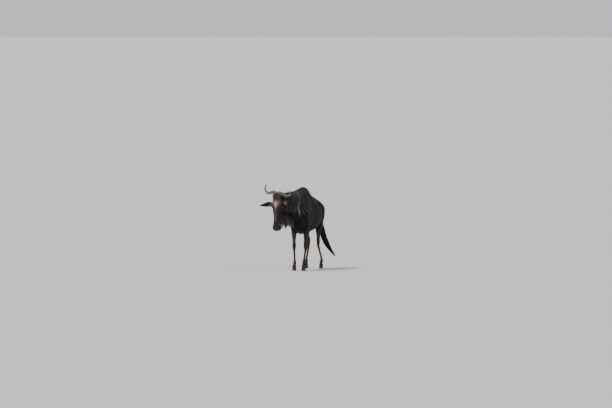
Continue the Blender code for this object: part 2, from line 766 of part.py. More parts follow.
def along_rings(rings, t, lift=0.0):
    """The point at a share of the way along a row of rings, at its front edge plus a lift."""
    table = smooth_rows(rings, 8)
    place = t * (len(table) - 1)
    i = min(int(place), len(table) - 2)
    row = table[i] + (place - i) * (table[i + 1] - table[i])
    way = unit(table[i + 1][:3] - table[i][:3])
    return row[:3] + np.array((0, 0, row[4] + lift)), way


MANE_LOCKS = 12  # on each side of the crest
MANE_LENGTH = (0.30, 0.17)  # at the withers, and at the poll
MANE_WIDTH = 0.052
WITHERS_LOCKS = 5
BEARD_LOCKS = 9
BEARD_ROWS = (-1, 0, 1)  # left, middle and right
LOCK_THICK = 0.013


def mane_field(p):
    """The flesh of the neck with the dense roots of its hair."""
    return joined(HAIR_CORES, p, flesh(p))


def mane_locks(draw):
    """Locks that part along the crest and hang down both sides of the neck."""
    roots, lies, lengths, widths = [], [], [], []
    for i in range(MANE_LOCKS):
        for side in (-1, 1):
            t = 0.10 + 0.86 * (i + 0.5 + side * 0.22 + draw.uniform(-0.12, 0.12)) / MANE_LOCKS
            top, way = along_rings(MANE_CORE, t, -0.006)
            across = unit(np.cross(way, (0, 0, 1))) * -side
            roots.append(top + across * 0.012)
            rise = 0.35 + 0.50 * min(1.0, t / 0.4)
            lies.append(across * 0.9 + np.array((0, 0, rise)) - way * draw.uniform(0.1, 0.4))
            length = MANE_LENGTH[0] + (MANE_LENGTH[1] - MANE_LENGTH[0]) * t
            lengths.append(length * draw.uniform(0.85, 1.12))
            widths.append(MANE_WIDTH * draw.uniform(0.85, 1.15))
    return hanging_locks(mane_field, roots, lies, lengths, widths, LOCK_THICK, 0.004, 4, 0.7, 0.010)


def beard_locks(draw):
    """Locks that hang from the throat and the underside of the neck."""
    roots, lies, lengths, widths = [], [], [], []
    table = smooth_rows(BEARD_CORE, 8)
    for i in range(BEARD_LOCKS):
        for row in BEARD_ROWS:
            t = (i + 0.5 + 0.33 * row + draw.uniform(-0.1, 0.1)) / BEARD_LOCKS
            ring = table[int(np.clip(t, 0, 1) * (len(table) - 1))]
            way = unit(table[-1][:3] - table[0][:3])
            across = unit(np.cross(way, (0, 0, 1))) * row
            foot = ring[:3] - np.array((0, 0, ring[5] * (0.55 if row else 0.85)))
            roots.append(foot + across * ring[3] * 0.6)
            lies.append(across * 0.5 - way * 0.25 + np.array((0, 0, -0.8)))
            swell = math.sin(math.pi * min(t * 1.1, 1) ** 1.4)
            lengths.append((0.10 + 0.10 * swell) * draw.uniform(0.8, 1.15))
            widths.append(0.042 * draw.uniform(0.85, 1.15))
    return hanging_locks(mane_field, roots, lies, lengths, widths, LOCK_THICK, 0.003, 4, 0.7, 0.012)


def withers_locks(draw):
    """The last of the mane, on the trunk."""
    roots, lies, lengths, widths = [], [], [], []
    for i in range(WITHERS_LOCKS):
        for side in (-1, 1):
            y = 0.045 + 0.20 * (i + 0.5 + 0.25 * side) / WITHERS_LOCKS
            roots.append((side * 0.010, y, WITHERS - 0.006))
            lies.append((side * 0.8, 0.45, 0.1))
            lengths.append(0.17 * (1 - 0.45 * i / WITHERS_LOCKS) * draw.uniform(0.85, 1.15))
            widths.append(0.046 * draw.uniform(0.85, 1.15))
    roots = onto_surface(flesh, np.array(roots))
    return hanging_locks(flesh, roots, lies, lengths, widths, LOCK_THICK, 0.002, 4, 0.8, 0.010)


TAIL_LOCKS = 18


def tail_locks(draw):
    """Locks of the tassel, which leave the dock all round and run together at the tip."""
    path = smooth_rows([*[ring[:3] for ring in DOCK], *TASSEL_END], 6)
    steps = np.linalg.norm(np.diff(path, axis=0), axis=1)
    run = np.concatenate([[0], np.cumsum(steps)])
    run /= run[-1]
    found = []
    for i in range(TAIL_LOCKS):
        start = 0.26 + 0.34 * i / TAIL_LOCKS
        end = min(1.0, start + draw.uniform(0.34, 0.46))
        angle = i * 2.4 + draw.uniform(-0.3, 0.3)
        spread = draw.uniform(0.034, 0.046)
        share = np.linspace(0, 1, 5)
        along = start + (end - start) * share
        line = np.stack([np.interp(along, run, path[:, k]) for k in range(3)], 1)
        way = unit(np.gradient(line, axis=0))
        first = unit(np.cross(way, (0, 1, 0)))
        second = np.cross(way, first)
        radial = math.cos(angle) * first + math.sin(angle) * second * 0.8
        swell = np.clip((along - 0.26) * 8, 0.25, 1) * np.clip((1.02 - along) * 3.2, 0, 1)
        line = line + radial * (0.004 + (spread - 0.004) * np.sin(0.5 * np.pi * share**0.7) * swell)[:, None]
        found.append(Lock(line, radial, 0.036, 0.012))
    return found


TUFT_LOCKS = 7


def forelock(draw):
    """Short locks between the horns, which fall over the forehead."""
    roots, lies, lengths, widths = [], [], [], []
    for i in range(TUFT_LOCKS):
        s = 0.024 * (2 * (i + 0.5) / TUFT_LOCKS - 1)
        roots.append(from_head((s, -0.006 + 0.012 * (i % 2), 0.038)))
        lies.append(HEAD_AXES @ (s * 12, 0.5, 0.9))
        lengths.append(0.085 * draw.uniform(0.8, 1.15))
        widths.append(0.022)
    roots = onto_surface(flesh, np.array(roots))
    return hanging_locks(flesh, roots, lies, lengths, widths, 0.009, 0.002, 4, 0.8, 0.008)


# Materials
def finish(name, colour, roughness):
    """A plain material of one colour."""
    made = bpy.data.materials.new(name)
    made.use_nodes = True
    shader = made.node_tree.nodes["Principled BSDF"]
    shader.inputs["Base Color"].default_value = (*colour, 1)
    shader.inputs["Roughness"].default_value = roughness
    shader.inputs["Metallic"].default_value = 0.0
    made.diffuse_color = (*colour, 1)
    return made


# Cuts between the nodes, each a point and the way that its outer side faces
def cut(point, out):
    """A cutting plane, with its direction at length 1."""
    return np.array(point, float), unit(np.array(out, float))


NECK_BASE = cut((0, -0.085, 1.02), (-0.15, -0.90, 0.42))
THROAT = cut(from_head((0, -0.02, -0.045)), HEAD_AXES @ (0, 0.105, 0.26))
TAIL_ROOT = cut((0.004, 0.998, 0.960), (0, 0.72, -0.69))


def shifted(planes, by):
    """The planes moved out by a distance."""
    return [(point + out * by, out) for point, out in planes]


def flipped(plane):
    """The same plane, facing the other way."""
    return plane[0], -plane[1]


def foreleg_planes(side):
    """The block that holds a foreleg, below the armpit and in front of the elbow."""
    return [cut((side * 0.110, 0, 0.650), (-side * 0.69, 0, 0.72)), cut((0, 0.105, 0.68), (0, 1, -0.25))]


def hindleg_planes(side):
    """The block that holds a hind leg, below the groin and behind the flank."""
    return [cut((side * 0.100, 0, 0.712), (-side * 0.55, 0, 0.83)), cut((0, 0.600, 0.68), (0, -1, 0))]


def coronet_plane(foot):
    """The slanted top of a hoof, higher at the toe."""
    return cut((foot[0], foot[1], CORONET_HEIGHT), (0, -0.30, -1))


def flesh_node(name, low, high, cell, triangles, planes, field=flesh):
    """A node cut from the flesh by planes."""
    made = surface(name, field, low, high, cell, triangles)
    combine(made, "INTERSECT", [region(shifted(planes, -GAP / 2))])
    keep_largest(made)
    return made


def torso():
    """The trunk, from the base of the neck to the rump."""

    def body(p):
        """The trunk and what melts into it, without the tail."""
        return joined([*TRUNK, *NECK, *LIMBS], p)

    made = surface("torso", body, (-0.27, -0.36, 0.54), (0.27, 1.09, 1.30), 0.016, 1700)
    blocks = [[flipped(NECK_BASE)]]
    blocks += [planes(side) for side in (-1, 1) for planes in (foreleg_planes, hindleg_planes)]
    fuse(made, [lock_object(lock) for lock in withers_locks(random.Random(SEED))])
    combine(made, "DIFFERENCE", [region(shifted(planes, GAP / 2)) for planes in blocks])
    keep_largest(made)
    return made


def neck():
    """The neck, from the withers to the throat, with its mane and beard."""
    low, high = (-0.36, -0.66, 0.60), (0.15, 0.14, 1.36)
    made = surface("neck", mane_field, low, high, 0.014, 1000)
    draw = random.Random(SEED + 1)
    fuse(made, [lock_object(lock) for lock in [*mane_locks(draw), *beard_locks(draw)]])
    combine(made, "INTERSECT", [region(shifted([flipped(NECK_BASE), THROAT], -GAP / 2))])
    keep_largest(made)
    return made


def legs():
    """Each leg in two nodes, cut at the knee or hock."""
    made = {}
    for name, leg in FORELEGS.items():
        side, (kx, ky), (fx, fy) = leg
        top = cut((0, 0, KNEE_HEIGHT), (0, 0, 1))
        low, high = (min(0, side * 0.24), -0.25, KNEE_HEIGHT - 0.03), (max(0, side * 0.24), 0.14, 0.80)
        planes = [*foreleg_planes(side), flipped(top)]
        made[f"foreleg_{name}_upper"] = flesh_node(
            f"foreleg_{name}_upper", low, high, 0.009, 330, planes
        )
        low = (min(kx, fx) - 0.06, min(ky, fy) - 0.09, 0.02)
        high = (max(kx, fx) + 0.06, 0.03, KNEE_HEIGHT + 0.03)
        planes = [top, coronet_plane(leg.foot)]
        made[f"foreleg_{name}_lower"] = flesh_node(
            f"foreleg_{name}_lower", low, high, 0.007, 400, planes
        )
    for name, leg in HINDLEGS.items():
        side, (hx, hy), (fx, fy) = leg
        top = cut((0, 0, HOCK_HEIGHT - 0.012), (0, 0, 1))
        low, high = (min(0, side * 0.26), 0.56, HOCK_HEIGHT - 0.05), (max(0, side * 0.26), 1.08, 0.86)
        planes = [*hindleg_planes(side), flipped(top)]
        made[f"hindleg_{name}_upper"] = flesh_node(
            f"hindleg_{name}_upper", low, high, 0.010, 420, planes
        )
        low, high = (min(hx, fx) - 0.06, fy - 0.09, 0.02), (max(hx, fx) + 0.06, hy + 0.10, HOCK_HEIGHT + 0.03)
        planes = [top, coronet_plane(leg.foot)]
        made[f"hindleg_{name}_lower"] = flesh_node(
            f"hindleg_{name}_lower", low, high, 0.007, 400, planes
        )
    return made


# Hooves
CLAW_WIDTH = 0.0325
CLAW_TOE = 0.068  # ahead of the foot's place, at the sole
CLAW_HEEL = 0.034
TOE_SLOPE = 0.44  # how far the front wall leans back for each metre up
HEEL_SLOPE = 0.10
CLAW_SPLAY = 0.0035  # the two toes stand this much apart
CLAW_LEVELS = (0.0, 0.010, 0.045, 0.090)
CLAW_BULGE = (0.97, 1.03, 1.00, 0.97)  # width at each level
CLAW_POINTS = 6  # along the curved outer wall


def claw(name, foot, side, size):
    """One of a foot's two claws: flat inside and below, curved outside, pointed at the toe."""
    x, y = foot
    points = []
    for height, bulge in zip(CLAW_LEVELS, CLAW_BULGE, strict=True):
        toe = -CLAW_TOE + TOE_SLOPE * height
        heel = CLAW_HEEL - HEEL_SLOPE * height
        outline = [(GAP, heel - 0.003)]
        for t in np.linspace(0, 1, CLAW_POINTS + 2)[1:-1]:
            reach = CLAW_WIDTH * bulge * math.sin(math.pi * t**0.80) ** 0.60
            outline.append((max(reach, 0.008), heel + (toe - heel) * t))
        outline.append((CLAW_SPLAY + 0.0045, toe))
        outline.append((CLAW_SPLAY, toe + 0.004))
        points += [(x + side * u * size, y + v * size, height) for u, v in outline]
    count = len(points) // len(CLAW_LEVELS)
    faces = [tuple(range(count)), tuple(range(len(points) - count, len(points)))]
    for i in range(len(CLAW_LEVELS) - 1):
        for j in range(count):
            a, b = i * count + j, i * count + (j + 1) % count
            faces.append((a, b, b + count, a + count))
    made = new_object(name, points, faces)
    combine(made, "INTERSECT", [region(shifted([flipped(coronet_plane(foot))], -GAP / 2))])
    return made


def hooves():
    """The eight claws."""
    made = {}
    for kind, group, size in (("fore", FORELEGS, 1.0), ("hind", HINDLEGS, 0.95)):
        for name, leg in group.items():
            for place, side in (("outer", leg.side), ("inner", -leg.side)):
                node = f"hoof_{kind}_{name}_{place}"
                made[node] = claw(node, leg.foot, side, size)
    return made


# Horns, ears and eyes
HORN = [
    (0.021, -0.018, 0.020, 0.0290),
    (0.062, -0.022, 0.024, 0.0280),
    (0.106, -0.010, 0.016, 0.0235),
    (0.150, 0.006, 0.006, 0.0200),
    (0.190, -0.006, -0.002, 0.0170),
    (0.216, -0.046, -0.006, 0.0135),
    (0.212, -0.093, -0.003, 0.0090),
    (0.192, -0.130, 0.004, 0.0022),
]
HORN_LEAN = math.tan(math.radians(11))  # the pair sits askew, its left side lower
HORN_RISE = {"left": 0.72, "right": 1.0}  # the left tip is shorter
HORN_SPAN = {"left": 0.95, "right": 0.88}  # and stands further out


def horn(name, side):
    """A horn: out and a little down from its boss, then up and in."""
    rows = []
    for s, a, n, r in HORN:
        rise = a * (HORN_RISE[name] if a < -0.03 else 1)
        reach = s * (HORN_SPAN[name] if s > 0.1 else 1)
        rows.append((reach, rise + side * s * HORN_LEAN, n, r))
    return head_tube(f"horn_{name}", rows, side, 10, 2)


class EarShape(NamedTuple):
    """An ear's root, direction, opening and length in head axes, as on the left side."""

    root: tuple[float, float, float]
    way: tuple[float, float, float]
    opening: tuple[float, float, float]
    length: float


EAR_WIDTH = 0.078
EAR_SKIN = 0.0045
EARS = {
    "left": EarShape((0.066, 0.118, -0.030), (0.86, 0.12, -0.48), (0.35, 0.35, 0.80), 0.232),
    "right": EarShape((0.066, 0.134, -0.030), (0.97, 0.10, -0.10), (0.12, 0.35, 0.90), 0.232),
}


def ear(name, side):
    """A cupped leaf with a thick rim, held out sideways."""
    shape = EARS[name]
    way = unit(np.array(shape.way))
    opening = np.array(shape.opening)
    opening = unit(opening - way * (opening @ way))
    wide = np.cross(way, opening)
    points = []
    rows = (0.0, 0.14, 0.32, 0.52, 0.72, 0.88, 0.985)
    across = np.linspace(-1, 1, 6)
    for t in rows:
        half = EAR_WIDTH / 2 * min(1.0, 0.42 + 2.0 * t) * (1 - max(t - 0.30, 0) ** 1.7 / 0.7**1.7 * 0.93)
        cup = half * (0.95 - 0.45 * t)
        skin = EAR_SKIN * (1.3 - 0.7 * t)
        centre = np.array(shape.root) + way * shape.length * t + opening * 0.010 * math.sin(math.pi * t)
        back = [centre + wide * half * v - opening * cup * (1 - v * v) for v in across]
        front = []
        for v in across[::-1]:
            front.append(centre + wide * (half - skin) * v + opening * (skin - cup * (1 - v * v)))
        points += back + front
    count = 2 * len(across)
    points = np.array(points)
    points[:, 0] *= side
    faces = [tuple(range(count))[::-1], tuple(range(len(points) - count, len(points)))]
    for i in range(len(rows) - 1):
        for j in range(count):
            a, b = i * count + j, i * count + (j + 1) % count
            faces += [(a, b, b + count), (a, b + count, a + count)]
    return new_object(f"ear_{name}", from_head(points), faces)


LID_THICK = 0.0032


def eye_frame():
    """The eye's axis in head axes, and its long and short ways across."""
    look = unit(np.array((0.92, -0.02, 0.36)))
    long = np.array((0, 1, -0.18))
    long = unit(long - look * (long @ look))
    return look, long, np.cross(look, long)


def lids(side):
    """The rims of the upper and lower lid, round an almond opening."""
    look, long, short = eye_frame()
    made = []
    for lid, height in (("upper", 0.60), ("lower", -0.62)):
        rows = []
        for t in np.linspace(-1, 1, 7):
            way = unit(look * 0.72 + long * t * 0.80 + short * height * (1 - abs(t) ** 2.2))
            rows.append((*(EYE + way * (EYE_RADIUS + 0.0012)), LID_THICK * (1.25 - 0.4 * abs(t))))
        made.append(head_tube(f"lid_{lid}", rows, side, 6, 1))
    return made


MOUTH = [
    (0.0540, HEAD_LENGTH - 0.118, -0.026, 0.0030),
    (0.0590, HEAD_LENGTH - 0.085, -0.022, 0.0046),
    (0.0660, HEAD_LENGTH - 0.052, -0.019, 0.0050),
    (0.0510, HEAD_LENGTH - 0.020, -0.014, 0.0050),
    (0.0250, HEAD_LENGTH - 0.007, -0.012, 0.0048),
    (-0.0060, HEAD_LENGTH - 0.0055, -0.012, 0.0048),
]
NOSTRIL_CUT = [
    (NOSTRIL[0] + 0.006, NOSTRIL[1] - 0.026, NOSTRIL[2] - 0.002, 0.0040),
    (NOSTRIL[0] + 0.010, NOSTRIL[1] - 0.008, NOSTRIL[2] - 0.001, 0.0090),
    (NOSTRIL[0] + 0.004, NOSTRIL[1] + 0.012, NOSTRIL[2] - 0.002, 0.0105),
    (NOSTRIL[0] - 0.010, NOSTRIL[1] + 0.020, NOSTRIL[2] - 0.001, 0.0060),
]


def head():
    """The head with its lids, nostrils and the line of its mouth."""
    corners = from_head([(s, a, n) for s in (-0.12, 0.12) for a in (-0.07, 0.62) for n in (-0.24, 0.12)])
    made = surface("head", flesh, corners.min(0), corners.max(0), 0.0065, 1900)
    tuft = [lock_object(lock) for lock in forelock(random.Random(SEED + 2))]
    fuse(made, [*tuft, *[lid for side in (-1, 1) for lid in lids(side)]])
    combine(made, "INTERSECT", [region(shifted([flipped(THROAT)], -GAP / 2))])
    keep_largest(made)
    cuts = []
    for side in (-1, 1):
        socket = from_head(EYE * (side, 1, 1))
        cuts.append(ball("socket", socket, EYE_RADIUS + 1.2 * GAP, *EYE_GRID))
        cuts.append(head_tube("nostril", NOSTRIL_CUT, side, 8, 2))
        cuts.append(head_tube("mouth", MOUTH, side, 6, 1))
    combine(made, "DIFFERENCE", cuts)
    keep_largest(made)
    return made


def tail():
    """The dock and its tassel."""

    def field(p):
        """The tail alone."""
        return joined(TAIL, p)

    made = surface("tail", field, (-0.06, 0.88, 0.34), (0.22, 1.22, 1.08), 0.008, 240)
    fuse(made, [lock_object(lock) for lock in tail_locks(random.Random(SEED + 3))])
    combine(made, "INTERSECT", [region(shifted([flipped(TAIL_ROOT)], -GAP / 2))])
    keep_largest(made)
    return made


COLOURS = {
    "coat_body": ((0.060, 0.052, 0.050), 0.75),
    "coat_neck": ((0.050, 0.043, 0.040), 0.75),
    "coat_head": ((0.055, 0.038, 0.033), 0.70),
    "coat_leg": ((0.065, 0.048, 0.038), 0.75),
    "hair_tail": ((0.018, 0.015, 0.014), 0.60),
    "ear": ((0.110, 0.065, 0.040), 0.75),
    "horn": ((0.120, 0.105, 0.090), 0.45),
    "hoof": ((0.035, 0.030, 0.028), 0.50),
    "eye": ((0.012, 0.008, 0.006), 0.10),
}


def slot_of(node):
    """The material of a node, by its name."""
    for start, slot in (
        ("torso", "coat_body"),
        ("neck", "coat_neck"),
        ("head", "coat_head"),
        ("foreleg", "coat_leg"),
        ("hindleg", "coat_leg"),
        ("tail", "hair_tail"),
        ("ear", "ear"),
        ("horn", "horn"),
        ("hoof", "hoof"),
    ):
        if node.startswith(start):
            return slot
    return "eye"


def main():
    """Builds every node and sets the model down with its origin under its middle."""
    for obj in list(bpy.data.objects):
        bpy.data.objects.remove(obj)
    nodes = {"torso": torso(), "neck": neck(), "head": head(), "tail": tail()}
    nodes.update(legs())
    nodes.update(hooves())
    for name, side in (("left", 1), ("right", -1)):
        nodes[f"horn_{name}"] = horn(name, side)
        nodes[f"ear_{name}"] = ear(name, side)
        nodes[f"eye_{name}"] = ball(f"eye_{name}", from_head(EYE * (side, 1, 1)), EYE_RADIUS, *EYE_GRID)
    clear_of(nodes["tail"], nodes["torso"])
    for name in ("left", "right"):
        clear_of(nodes[f"horn_{name}"], nodes["head"], gap=2 * GAP)
        clear_of(nodes[f"ear_{name}"], nodes["head"], nodes[f"horn_{name}"], nodes["neck"])
    materials = {slot: finish(slot, *values) for slot, values in COLOURS.items()}
    corners = np.array([obj.matrix_world @ v.co for obj in nodes.values() for v in obj.data.vertices])
    middle = (corners.min(0) + corners.max(0)) / 2
    for node, obj in nodes.items():
        obj.name = node
        obj.data.name = node
        obj.data.transform(Matrix.Translation((-middle[0], -middle[1], 0)))
        obj.data.materials.clear()
        obj.data.materials.append(materials[slot_of(node)])
        obj.data.shade_smooth()
        obj.data.set_sharp_from_angle(angle=math.radians(40))


if __name__ == "__main__":
    main()
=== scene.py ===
"""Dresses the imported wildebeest: skin, short coat, mane, beard, tassel, horns, hooves, ears and eyes.

Metres, +Z up, in the model's own frame. The anatomy is worked out in a working frame, where the
animal's middle line is x = 0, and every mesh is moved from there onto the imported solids.
"""

import logging
import math
from collections.abc import Callable, Sequence
from dataclasses import dataclass, field
from enum import Enum
from typing import NamedTuple

import bmesh
import bpy
import numpy as np
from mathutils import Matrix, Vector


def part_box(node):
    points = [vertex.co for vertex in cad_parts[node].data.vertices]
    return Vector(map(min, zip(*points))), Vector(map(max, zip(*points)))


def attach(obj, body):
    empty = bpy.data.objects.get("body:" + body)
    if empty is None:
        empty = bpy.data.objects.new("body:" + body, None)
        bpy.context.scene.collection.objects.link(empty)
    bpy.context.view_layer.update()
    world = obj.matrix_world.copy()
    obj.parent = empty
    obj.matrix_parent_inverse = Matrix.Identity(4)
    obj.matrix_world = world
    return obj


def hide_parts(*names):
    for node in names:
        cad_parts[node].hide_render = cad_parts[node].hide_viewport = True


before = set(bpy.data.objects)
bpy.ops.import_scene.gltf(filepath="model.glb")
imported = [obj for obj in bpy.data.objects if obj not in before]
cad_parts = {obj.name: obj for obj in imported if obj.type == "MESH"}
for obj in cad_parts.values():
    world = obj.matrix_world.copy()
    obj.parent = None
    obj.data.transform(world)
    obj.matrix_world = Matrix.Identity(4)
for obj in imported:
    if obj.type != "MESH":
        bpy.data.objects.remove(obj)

import openvdb
from mathutils import Matrix, Vector
from mathutils.bvhtree import BVHTree

LOG = logging.getLogger("wildebeest")
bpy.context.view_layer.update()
BODY = "root"
UV_NAME = "OFBake"
PATCH = 0.003  # the width of one tuft on the unwrap
MARGIN = 0.12  # a tube further off than this is left out
FAR = 9.0  # the distance where no tube is near
Array = np.ndarray
Draw = np.random.Generator
Piece = bpy.types.Object
Material = bpy.types.Material
Triple = tuple[float, float, float]
Rows = Sequence[Sequence[float]]
Field = Callable[[Array], Array]


# Curves and fields
def unit(v: Array) -> Array:
    """Vectors along the last axis, at length 1."""
    return v / np.maximum(np.linalg.norm(v, axis=-1, keepdims=True), 1e-9)


def smooth_rows(rows: Rows, steps: int) -> Array:
    """Reads rows from the smooth curve through the given rows.

    Args:
        rows: The rows that the curve passes through.
        steps: How many steps lie between two of them.

    Returns:
        The rows along the curve.
    """
    table = np.asarray(rows, float)
    padded = np.vstack([2 * table[0] - table[1], table, 2 * table[-1] - table[-2]])
    found = []
    for i in range(len(table) - 1):
        a, b, c, d = padded[i : i + 4]
        for t in np.arange(steps) / steps:
            curve = 2 * b + (c - a) * t + (2 * a - 5 * b + 4 * c - d) * t**2
            found.append(0.5 * (curve + (3 * b - 3 * c + d - a) * t**3))
    return np.array([*found, table[-1]])


def rings(rows: Rows, side: int = 1) -> Array:
    """Writes the sections of a tube in full: centre, half width, reach to front and back, and taper.

    Args:
        rows: The sections; a single radius stands for all three sizes, and a taper left out is 0.
        side: -1 to mirror them to the animal's right.

    Returns:
        Seven numbers for each section.
    """
    full = [(*row, row[3], row[3]) if len(row) == 4 else row for row in rows]
    table = np.array([(*row, 0.0)[:7] for row in full], float)
    table[:, 0] *= side
    return table


def blended(below: Array, above: Array | Sequence[float], share: Array) -> Array:
    """Lays one colour over another where its share is 1, and between them elsewhere."""
    return below * (1 - share) + np.asarray(above) * share


def eased(value: Array, low: float, high: float) -> Array:
    """Rises smoothly from 0 at low to 1 at high."""
    t = np.clip((value - low) / (high - low), 0, 1)
    return t * t * (3 - 2 * t)


class Loft:
    """A tube of oval sections along a smooth line, which melts into the flesh round it."""

    def __init__(self, rows: Rows, facing: Triple, blend: float = 0.03, steps: int = 4, side: int = 1) -> None:
        """Works out the tube's stretches.

        Args:
            rows: Its sections, as rings() reads them.
            facing: The way that the front of each section looks.
            blend: The distance over which it melts into others.
            steps: Stretches between two sections.
            side: -1 to mirror it to the animal's right.
        """
        table = smooth_rows(rings(rows, side), steps)
        self.blend = blend
        self.start, self.end = table[:-1], table[1:]
        self.along = unit(self.end[:, :3] - self.start[:, :3])
        look = np.asarray(facing, float)
        self.front = unit(look - self.along * (self.along @ look)[:, None])
        reach = table[:, 3:6].max(1)[:, None]
        low, high = table[:, :3] - reach, table[:, :3] + reach
        self.lows, self.highs = np.minimum(low[:-1], low[1:]), np.maximum(high[:-1], high[1:])

    def near(self, p: Array) -> Array:
        """The numbers of the stretches that can matter at some of the points."""
        low, high = p.min(0) - MARGIN, p.max(0) + MARGIN
        return np.flatnonzero(((self.lows < high) & (self.highs > low)).all(1))

    def distance(self, p: Array) -> Array:
        """About how far each point is outside the tube.

        Args:
            p: The points.

        Returns:
            Distances, below 0 inside.
        """
        best = np.full(len(p), FAR)
        for i in self.near(p):
            a, b, along, front = self.start[i], self.end[i], self.along[i], self.front[i]
            span = b[:3] - a[:3]
            share = np.clip((p - a[:3]) @ span / (span @ span), 0, 1)
            ring = a[3:] + share[:, None] * (b[3:] - a[3:])
            q = p - a[:3] - share[:, None] * span
            v, w = q @ front, q @ along
            length = np.sqrt((q * q).sum(1))
            u = np.sqrt(np.maximum(length**2 - v**2 - w**2, 0))
            reach = np.where(v > 0, ring[:, 1], ring[:, 2])
            half = ring[:, 0] * (1 - ring[:, 3] * np.clip(v / reach, -1, 1))
            least = np.minimum(ring[:, 0], np.minimum(ring[:, 1], ring[:, 2]))
            k = np.sqrt((u / half) ** 2 + (v / reach) ** 2 + (w / least) ** 2)
            best = np.minimum(best, np.where(k < 1e-3, -least, length * (1 - 1 / np.maximum(k, 1e-3))))
        return best


def soft_min(a: Array, b: Array, k: float) -> Array:
    """The union of two fields."""
    h = np.maximum(k - np.abs(a - b), 0) / k
    return np.minimum(a, b) - h * h * k / 4


def joined(lofts: Sequence[Loft], p: Array, found: Array | None = None) -> Array:
    """Melts tubes together.

    Args:
        lofts: The tubes.
        p: The points to measure at.
        found: A field that they join.

    Returns:
        The distance to the whole at each point.
    """
    for loft in lofts:
        if len(loft.near(p)):
            d = loft.distance(p)
            found = d if found is None else soft_min(found, d, loft.blend)
    return np.full(len(p), FAR) if found is None else found


class Foot(NamedTuple):
    """Where one leg stands: its side, its knee or hock and its foot, as (x, y)."""

    side: int
    joint: tuple[float, float]
    foot: tuple[float, float]


UP = (0, 0, 1)
OUT = (0, 0, 1)
AHEAD = (0, -1, 0)


